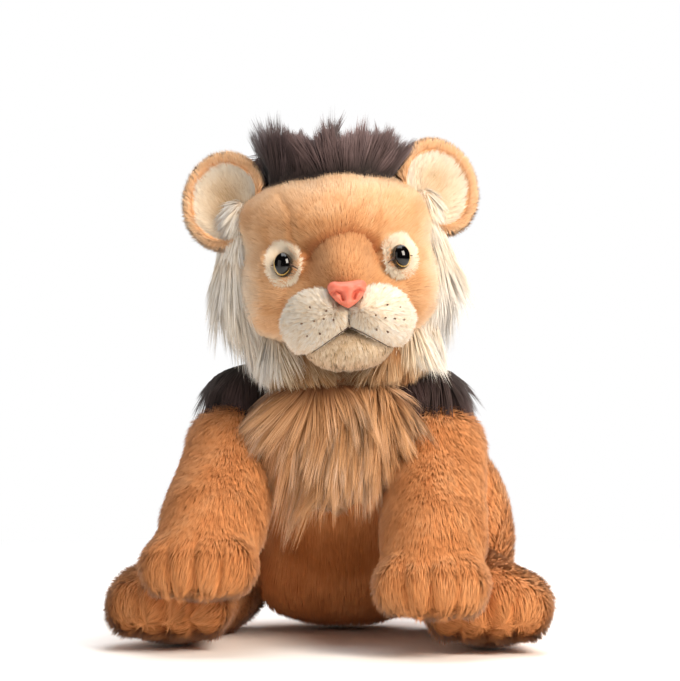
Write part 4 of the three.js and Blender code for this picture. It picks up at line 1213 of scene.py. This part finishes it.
def build_ear(side, sign, pile):
    """A dished ear with a rolled rim, tan pile behind and on the rim, and a cream lining with wisps low down."""
    turn = rotation(2, EAR_SPLAY * sign) @ rotation(0, EAR_TILT)
    at = EAR_AT * (sign, 1, 1)

    def share(p):
        """How far out from the ear's middle points lie, as a share of its half sizes."""
        q = (p - at) @ turn
        return np.hypot(q[:, 0] / EAR_HALF[0], q[:, 1] / EAR_HALF[1])

    def in_cup(p):
        return ((p - at) @ turn)[:, 2] > EAR_CUP * share(p) ** 2 + 1

    def lining_tone(p):
        # Painted shade: the lining is darker deep in the cup and low down in the ear.
        tone_with_cup_shade = 0.36 + 0.38 * smooth(0.1, 0.75, share(p)) + 0.06 * noise(p, 6, 19)
        return tone_with_cup_shade - 0.1 * smooth(4, -22, (p - at)[:, 2])

    shell = ear_dish(turn, at, 0.93, EAR_WALL - 1, 0, 3.5)
    add_skin(f"ear_{side}_plush", "head", "face_cloth", shell, replaced=f"ear_{side}")
    coat(
        f"ear_{side}_pile", "head", "face", shell, HAIRS["ear"], groom=lambda p: p - at + np.array((0, 0, 16)),
        length=pile * 0.9, width=0.72, tone=lambda p: 0.64 + 0.07 * noise(p, 7, 2),
        keep=lambda p: outside(p, 0, HEAD) & (~in_cup(p) | (share(p) > EAR_FRONT)),
        lift=0.4, spread=0.22, clump_size=5, speckle=0.03,
    )
    lining = ear_dish(turn, at, 0.84, 3, 1.2)
    add_skin(f"ear_{side}_lining", "head", "cream_cloth", lining, replaced=f"ear_lining_{side}")
    wisps_end = -8
    for name, hairs, highest, long, clump, rings in (
        ("short", "lining", math.inf, 6.5, 0.0, 1),
        ("wisps", "lining wisps", wisps_end, 11.0, 0.4, 2),
    ):
        coat(
            f"ear_{side}_lining_{name}", "head", "cream", lining, HAIRS[hairs], rings=rings,
            groom=lambda p: p - at + np.array((sign * 18, 0, 26)), length=long, width=0.72, tone=lining_tone,
            keep=lambda p: outside(p, -1, HEAD) & ((p - at)[:, 2] < highest) & in_cup(p),
            lift=0.3, spread=0.22, clump=clump, clump_size=6, speckle=0.04,
        )


def build_ears(settings):
    for side, sign in SIDES:
        build_ear(side, sign, settings.face_pile / MM)


def ruff_relief(p):
    """The ruff lies closer to the cheek low down than its stuffed core in part.mjs."""
    return -14.0 * smooth(4, -36, p[:, 2]) * smooth(42, 60, np.abs(p[:, 0])) - 8.0 * smooth(-66, -84, p[:, 2])


def build_ruffs(settings):
    """The cream panels on the cheeks, which sweep back by the ears and hang under the chin."""
    long = settings.ruff_pile / MM

    def tone(p):
        # Painted shade: the ruff is darker under the chin and low down, where it hangs over the neck.
        under_chin = smooth(52, 32, np.abs(p[:, 0])) * smooth(-34, -52, p[:, 2])
        low = np.maximum(smooth(-54, -70, p[:, 2]), under_chin)
        return 0.7 + 0.12 * noise(p, 12, 6) + 0.07 * noise(p, 4, 16) - 0.55 * low

    def hang(p):
        """The ruff ends above the shoulders, and the pile is shorter beside the ear."""
        low = 66 + 9 * smooth(44, 20, np.abs(p[:, 0])) + 5 * noise(p, 12, 97)
        by_ear = 0.45 * smooth(-8, 18, p[:, 2])
        return np.clip(p[:, 2] + low, 8, long * (1 - by_ear - 0.22 * smooth(16, 28, p[:, 2])))

    for side, sign in SIDES:
        def groom(p):
            low, back = smooth(34, -20, p[:, 2])[:, None], smooth(-5, 25, p[:, 1])[:, None]
            down = np.array((-0.24 if sign > 0 else 0.38, 0.05, -1.0)) + back * np.array((0, 0.3, 0))
            return np.array((sign * 0.08, 0.3, -0.9)) * (1 - low) + down * low + 0.2 * noise_vectors(p, 20, 90)

        skin = RUFFS[side].surface(FINE, grow=-long * 0.26, relief=ruff_relief)
        add_skin(f"ruff_{side}_pad", "head", "ruff_cloth", skin, replaced=f"ruff_{side}")
        for name, front in (("front", True), ("back", False)):
            coat(
                f"ruff_{side}_pile_{name}", "head", "ruff", skin, HAIRS["half ruff"], groom=groom, length=hang,
                width=0.75, tone=tone, keep=lambda p: outside(p, -8, HEAD) & ((p[:, 1] < 2) == front), rings=3,
                lift=0.2, spread=0.2, wave=0.2, droop=0.4, sag=0.3, curl=1.5, clump=0.35, clump_size=7,
                tufts=0.22, fade=0.12,
            )


def build_crown(settings):
    """The mane on the head: an upright crest in front, and behind it pile that turns over and hangs to the nape."""
    long = settings.mane_pile / MM
    skin = pressed(CROWN.surface(FINE, grow=-long * 0.27), CREST_TOP - CREST_DEPTH)
    add_skin("mane_crown_pad", "head", "mane_cloth", skin, replaced="mane_crown")

    def groom(p):
        """Upright, and leaning out a little, on the lion's left more than on its right."""
        lean = p * (0.012, 0.004, 0) * np.where(p[:, :1] < 0, (0.1, 1, 1), 1.0)
        back = 0.8 * smooth(2, 24, p[:, 1:2]) * np.array((0, 1, 0))
        return np.array((0, 0.1, 1.0)) + lean + back + 0.3 * noise_vectors(p, 15, 40)

    def to_nape(p):
        return np.maximum(smooth(12, 46, p[:, 1]), smooth(26, 42, np.abs(p[:, 0])) * smooth(-2, 10, p[:, 1]))

    def groom_back(p):
        back = to_nape(p)[:, None]
        return np.array((0, 0.35, 0.8)) * (1 - back) + np.array((0, 0.4, -0.9)) * back + 0.3 * noise_vectors(p, 16, 40)

    def tone(p):
        return 0.5 + 0.2 * noise(p, 9, 26) + 0.1 * noise(p, 3, 36) + 0.1 * smooth(0, -30, p[:, 1])

    def crest(p):
        """The crest ends at about one height, with a few peaks."""
        x = p[:, 0]
        peaks = CREST_TOP + 4 * noise(p * (1, 0.4, 0), 6, 72) - 0.003 * np.maximum(x, 0) ** 2
        peaks += sum(high * np.exp(-(((x - at) / 4) ** 2)) for at, high in CREST_PEAKS)
        return np.clip(peaks - p[:, 2], 5, 46)

    def back_length(p):
        back = to_nape(p)
        return np.minimum(crest(p), long) * (1 - back) + long * back

    coat(
        "mane_crown_front_pile", "head", "mane", skin, HAIRS["crest"], groom=groom, length=crest, width=0.72,
        tone=tone, keep=lambda p: (p[:, 1] < 17 + 8 * noise(p, 9, 50)) & outside(p, 0.5, HEAD) & (p[:, 0] > -39),
        rings=3, free=True, lift=0.2, spread=0.24, wave=0.26, droop=0.1, curl=1.2, clump=0.5, clump_size=6,
        tufts=0.2, fade=0.14,
    )
    coat(
        "mane_crown_back_pile", "head", "mane", skin, HAIRS["nape"], groom=groom_back, length=back_length, width=1.05,
        tone=tone, keep=lambda p: (p[:, 1] >= 11) & outside(p, -6, HEAD),
        rings=3, lift=0.25, spread=0.22, wave=0.22, droop=0.35, sag=0.2, clump=0.5, tufts=0.3, fade=0.14,
    )


def build_cape(settings):
    """The mane on the shoulders, a collar of long pile that falls away from the neck on all sides."""
    long = settings.mane_pile / MM
    skin = pressed(CAPE.surface(FINE, grow=-long * 0.44), 196)

    def groom(p):
        return unit((p - CAPE.core) * (1, 1, 0)) * 0.1 + np.array((0, 0.05, -1.0)) + 0.2 * noise_vectors(p, 22, 60)

    def hang(p):
        """The pile ends above the forelegs in front and reaches lower on the back."""
        front = smooth(10, -30, p[:, 1])
        return np.clip(p[:, 2] - (110 + 30 * front), 7, long * (1 - 0.45 * front))

    add_skin("mane_cape_pad", "torso", "mane_cloth", skin, replaced="mane_cape")
    coat(
        "mane_cape_pile", "torso", "mane", skin, HAIRS["cape"], groom=groom, length=hang, width=0.9,
        tone=lambda p: 0.36 + 0.2 * noise(p, 10, 46) + 0.1 * noise(p, 3, 56),
        keep=lambda p: outside(p, -4, TORSO) & outside(p, -8, BIB) & (p[:, 2] < 190),
        rings=2, lift=0.16, spread=0.22, wave=0.2, droop=0.4, sag=0.55, clump=0.45, tufts=0.25, fade=0.12,
    )


def build_bib(settings):
    """The brown panel on the chest, whose long pile hangs in waves with pale tips."""
    long = settings.bib_pile / MM
    skin = pressed(BIB.surface(FINE, grow=-long * 0.28), 168)
    add_skin("chest_bib_pad", "torso", "bib_cloth", skin, replaced="chest_bib")

    def groom(p):
        return np.array((0, 0, -1.0)) + 0.55 * noise_vectors(p, 20, 80) + p * (0.004, 0, 0)

    def tone(p):
        return 0.4 + 0.16 * noise(p * (1, 1, 0.45), 8, 66) + 0.08 * noise(p, 3, 76)

    def hang(p):
        return np.clip(p[:, 2] - 98 - 4 * noise(p, 16, 96), 10, long)

    def shown(p):
        return outside(p, -10, TORSO) & (p[:, 1] < -60) & (p[:, 2] < 164)

    for side, sign in SIDES:
        coat(
            f"chest_bib_pile_{side}", "torso", "bib", skin, HAIRS["half bib"], groom=groom, length=hang, width=0.75,
            tone=tone, keep=lambda p: shown(p) & (sign * p[:, 0] >= 0),
            rings=3, lift=0.24, spread=0.2, wave=0.4, droop=0.4, sag=0.25, curl=4.0, clump=0.6, clump_size=6,
            tufts=0.2, speckle=0.075, fade=0.36,
        )


def build_washers(settings):
    """The washers stay the CAD's own solids and get their pressed plastic."""
    look = materials()["washer"]
    for node in ("nose_washer", "eye_washer_left", "eye_washer_right"):
        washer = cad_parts[node]
        if not washer.material_slots:
            washer.data.materials.append(look)
        for slot in washer.material_slots:
            slot.link, slot.material = "OBJECT", look


# The stage, in metres, but for the floor's grain and half width, which are in millimetres as the lion is

FLOOR_GRAIN, FLOOR_HALF = 25, 6000.0
FLOOR_FADE = (0.28, 0.75)
WHITE = (1, 1, 1, 1)
LIGHTS_AIM = Vector((0, -0.06, 0.16))
# Name, place, share of the key light's power, size and colour
LIGHTS = (
    ("key light", (1.15, -1.15, 1.2), 1.0, 0.9, "#FFF2E2"),
    ("fill light", (-1.2, -1.1, 0.6), 0.09, 1.1, "#FFF6EC"),
    ("back light", (0.3, 1.2, 1.3), 0.5, 1.0, "#FFFFFF"),
    ("top light", (0.0, 0.0, 1.7), 0.4, 1.2, "#FFFFFF"),
)
SENSOR_WIDTH = 36


def build_room():
    """A soft white room, which is dimmer where a polished face mirrors it, so that the eyes stay black."""
    world = bpy.data.worlds.new("soft white room")
    world.use_nodes = True
    tree = world.node_tree
    tree.nodes.clear()
    rays = add_node(tree, "LightPath").outputs
    seen = add_node(tree, "Math", [(rays["Is Camera Ray"], 0), (rays["Is Transmission Ray"], 1)], operation="MAXIMUM")
    room = add_node(tree, "Background", Color=linear("#F1EEEA"), Strength=0.44)
    dim = add_node(tree, "Background", Color=linear("#8FA0B0"), Strength=0.06)
    lit = add_node(tree, "MixShader", [(rays["Is Glossy Ray"], 0), (room.outputs[0], 1), (dim.outputs[0], 2)])
    white = add_node(tree, "Background", Color=WHITE, Strength=1.0)
    mix = add_node(tree, "MixShader", [(seen.outputs[0], 0), (lit.outputs[0], 1), (white.outputs[0], 2)])
    add_node(tree, "OutputWorld", [(mix.outputs[0], "Surface")])
    bpy.context.scene.world = world


def build_floor():
    """A painted matt floor: pale, with a soft grain, and it fades into the white of the room away from the lion."""
    material, tree = new_material("pale matt floor")
    colour, _ = mottled(tree, FLOOR_GRAIN, ((0.0, "#F4F4F3"), (1.0, "#FAFAF9")))
    paint = add_node(tree, "BsdfPrincipled", [(colour, "Base Color")], Roughness=0.9)
    place = add_node(tree, "TexCoord")
    radius = add_node(tree, "VectorMath", [(place.outputs["Object"], 0)], operation="LENGTH")
    near, off = FLOOR_FADE
    far = add_node(
        tree, "MapRange", [(radius.outputs["Value"], "Value")],
        interpolation_type="SMOOTHSTEP", From_Min=near, From_Max=off,
    )
    glow = add_node(tree, "Emission", Color=WHITE, Strength=1.0)
    rays = add_node(tree, "LightPath").outputs
    share = add_node(tree, "Math", [(far.outputs["Result"], 0), (rays["Is Camera Ray"], 1)], operation="MULTIPLY")
    links = [(share.outputs[0], 0), (paint.outputs["BSDF"], 1), (glow.outputs[0], 2)]
    blend = add_node(tree, "MixShader", links)
    add_node(tree, "OutputMaterial", [(blend.outputs[0], "Surface")])
    corners = np.array(((-1, -1, 0), (1, -1, 0), (1, 1, 0), (-1, 1, 0))) * FLOOR_HALF
    mesh_object("floor", corners, np.array(((0, 1, 2), (0, 2, 3))), material)


def stand(name, data, at, towards):
    """Puts a lamp or the camera in its place, looking one way."""
    made = bpy.data.objects.new(name, data)
    made.location = at
    made.rotation_euler = towards.to_track_quat("-Z", "Y").to_euler()
    bpy.context.scene.collection.objects.link(made)
    return made


def build_stage(settings):
    """The room, the floor, four soft lights and the camera."""
    scene = bpy.context.scene
    scene.view_settings.view_transform = "Standard"
    build_room()
    build_floor()
    for name, at, power, size, colour in LIGHTS:
        lamp = bpy.data.lights.new(name, "AREA")
        lamp.energy, lamp.size, lamp.color = settings.key_power * power, size, linear(colour)[:3]
        stand(name, lamp, at, LIGHTS_AIM - Vector(at))

    camera = bpy.data.cameras.new("camera")
    camera.lens, camera.sensor_width = settings.camera_lens, SENSOR_WIDTH
    azimuth, elevation = settings.camera_azimuth, settings.camera_elevation
    level = math.cos(elevation)
    way = Vector((math.sin(azimuth) * level, -math.cos(azimuth) * level, math.sin(elevation)))
    scene.camera = stand("camera", camera, Vector(settings.camera_target) + way * settings.camera_distance, -way)


# The add-on


def length_property(name, description, millimetres):
    return bpy.props.FloatProperty(name=name, description=description, default=millimetres * MM, unit="LENGTH")


class PlushLionSizes(bpy.types.PropertyGroup):
    face_pile: length_property("Face pile", "Length of the pile on the face", 6.0)
    body_pile: length_property("Body pile", "Length of the pile on the torso and legs", 9.0)
    mane_pile: length_property("Mane pile", "Length of the pile of the crown and the cape", 30.0)
    ruff_pile: length_property("Ruff pile", "Length of the pile of the cheeks' ruff", 30.0)
    bib_pile: length_property("Bib pile", "Length of the pile on the chest", 32.0)


def dye_property(name, description):
    return bpy.props.FloatVectorProperty(
        name=name, description=description, default=(1.0, 1.0, 1.0), min=0.0, max=1.0, subtype="COLOR"
    )


class PlushLionDyes(bpy.types.PropertyGroup):
    face_dye: dye_property("Face dye", "Tint of the tan pile on the face and the ears")
    body_dye: dye_property("Body dye", "Tint of the orange-tan pile on the torso, the legs and the tail")
    cream_dye: dye_property("Cream dye", "Tint of the muzzle, the chin, the eye patches and the ears' linings")
    mane_dye: dye_property("Mane dye", "Tint of the dark mane and the tail's tuft")
    ruff_dye: dye_property("Ruff dye", "Tint of the cream ruff")
    bib_dye: dye_property("Bib dye", "Tint of the brown bib")
    nose_dye: dye_property("Nose dye", "Tint of the vinyl nose")


class PlushLionStage(bpy.types.PropertyGroup):
    key_power: bpy.props.FloatProperty(
        name="Key light", description="Power of the main light", default=41.0, unit="POWER"
    )
    camera_lens: bpy.props.FloatProperty(
        name="Lens", description="Focal length of the camera", default=166.5, unit="CAMERA"
    )
    camera_distance: bpy.props.FloatProperty(
        name="Distance", description="From the camera to what it looks at", default=2.0, unit="LENGTH"
    )
    camera_azimuth: bpy.props.FloatProperty(
        name="Azimuth",
        description="How far to the lion's left the camera stands",
        default=math.radians(4.0),
        subtype="ANGLE",
    )
    camera_elevation: bpy.props.FloatProperty(
        name="Elevation",
        description="How far above the horizon the camera stands",
        default=math.radians(1.0),
        subtype="ANGLE",
    )
    camera_target: bpy.props.FloatVectorProperty(
        name="Target", description="The point that the camera looks at", default=(0.004, -0.08, 0.1915), subtype="XYZ"
    )


def run(context, *builders):
    for build in builders:
        build(context.scene.plush_lion)
    return {"FINISHED"}


class OBJECT_OT_plush_lion_torso(bpy.types.Operator):
    """Build the stuffed torso, its filling and the pellet pouch"""

    bl_idname = "object.plush_lion_torso"
    bl_label = "Torso"

    def execute(self, context):
        return run(context, build_torso)


class OBJECT_OT_plush_lion_forelegs(bpy.types.Operator):
    """Build the two forelegs"""

    bl_idname = "object.plush_lion_forelegs"
    bl_label = "Forelegs"

    def execute(self, context):
        return run(context, build_forelegs)


class OBJECT_OT_plush_lion_hindlegs(bpy.types.Operator):
    """Build the two hind legs"""

    bl_idname = "object.plush_lion_hindlegs"
    bl_label = "Hind legs"

    def execute(self, context):
        return run(context, build_hindlegs)


class OBJECT_OT_plush_lion_tail(bpy.types.Operator):
    """Build the tail and its dark tuft"""

    bl_idname = "object.plush_lion_tail"
    bl_label = "Tail"

    def execute(self, context):
        return run(context, build_tail)


class OBJECT_OT_plush_lion_head(bpy.types.Operator):
    """Build the head, its filling and the cream patches round the eyes"""

    bl_idname = "object.plush_lion_head"
    bl_label = "Head"

    def execute(self, context):
        return run(context, build_head)


class OBJECT_OT_plush_lion_muzzle(bpy.types.Operator):
    """Build the two muzzle pads, the chin and the thread of the mouth"""

    bl_idname = "object.plush_lion_muzzle"
    bl_label = "Muzzle"

    def execute(self, context):
        return run(context, build_muzzle)


class OBJECT_OT_plush_lion_eyes(bpy.types.Operator):
    """Build the two safety eyes and the stitches at their corners"""

    bl_idname = "object.plush_lion_eyes"
    bl_label = "Eyes"

    def execute(self, context):
        return run(context, build_eyes)


class OBJECT_OT_plush_lion_nose(bpy.types.Operator):
    """Build the moulded nose"""

    bl_idname = "object.plush_lion_nose"
    bl_label = "Nose"

    def execute(self, context):
        return run(context, build_nose)


class OBJECT_OT_plush_lion_ears(bpy.types.Operator):
    """Build the two ears and their linings"""

    bl_idname = "object.plush_lion_ears"
    bl_label = "Ears"

    def execute(self, context):
        return run(context, build_ears)


class OBJECT_OT_plush_lion_ruffs(bpy.types.Operator):
    """Build the two cream panels of the ruff"""

    bl_idname = "object.plush_lion_ruffs"
    bl_label = "Ruff"

    def execute(self, context):
        return run(context, build_ruffs)


class OBJECT_OT_plush_lion_mane(bpy.types.Operator):
    """Build the dark mane: the crown on the head and the cape on the shoulders"""

    bl_idname = "object.plush_lion_mane"
    bl_label = "Mane"

    def execute(self, context):
        return run(context, build_crown, build_cape)


class OBJECT_OT_plush_lion_bib(bpy.types.Operator):
    """Build the long-haired bib on the chest"""

    bl_idname = "object.plush_lion_bib"
    bl_label = "Bib"

    def execute(self, context):
        return run(context, build_bib)


class OBJECT_OT_plush_lion_washers(bpy.types.Operator):
    """Give the washers behind the eyes and the nose their plastic"""

    bl_idname = "object.plush_lion_washers"
    bl_label = "Washers"

    def execute(self, context):
        return run(context, build_washers)


class OBJECT_OT_plush_lion_stage(bpy.types.Operator):
    """Build the floor, the room, the lights and the camera"""

    bl_idname = "object.plush_lion_stage"
    bl_label = "Stage"

    def execute(self, context):
        build_stage(context.scene.plush_lion_stage)
        return {"FINISHED"}


PARTS = (
    OBJECT_OT_plush_lion_torso,
    OBJECT_OT_plush_lion_forelegs,
    OBJECT_OT_plush_lion_hindlegs,
    OBJECT_OT_plush_lion_tail,
    OBJECT_OT_plush_lion_head,
    OBJECT_OT_plush_lion_muzzle,
    OBJECT_OT_plush_lion_eyes,
    OBJECT_OT_plush_lion_nose,
    OBJECT_OT_plush_lion_ears,
    OBJECT_OT_plush_lion_ruffs,
    OBJECT_OT_plush_lion_mane,
    OBJECT_OT_plush_lion_bib,
    OBJECT_OT_plush_lion_washers,
    OBJECT_OT_plush_lion_stage,
)


class VIEW3D_PT_plush_lion(bpy.types.Panel):
    """Lists the sizes and the parts of the lion"""

    bl_label = "Plush lion"
    bl_space_type = "VIEW_3D"
    bl_region_type = "UI"
    bl_category = "Plush lion"

    def draw(self, context):
        for group in (context.scene.plush_lion, context.scene.plush_lion_dyes, context.scene.plush_lion_stage):
            for name in group.__annotations__:
                self.layout.prop(group, name)
        for part in PARTS:
            self.layout.operator(part.bl_idname)


CLASSES = (PlushLionSizes, PlushLionDyes, PlushLionStage, *PARTS, VIEW3D_PT_plush_lion)


def register():
    for cls in CLASSES:
        bpy.utils.register_class(cls)
    bpy.types.Scene.plush_lion = bpy.props.PointerProperty(type=PlushLionSizes)
    bpy.types.Scene.plush_lion_dyes = bpy.props.PointerProperty(type=PlushLionDyes)
    bpy.types.Scene.plush_lion_stage = bpy.props.PointerProperty(type=PlushLionStage)


def unregister():
    del bpy.types.Scene.plush_lion_stage
    del bpy.types.Scene.plush_lion_dyes
    del bpy.types.Scene.plush_lion
    for cls in reversed(CLASSES):
        bpy.utils.unregister_class(cls)


def main():
    register()
    for part in PARTS:
        group, name = part.bl_idname.split(".")
        getattr(getattr(bpy.ops, group), name)()


if __name__ == "__main__":
    main()
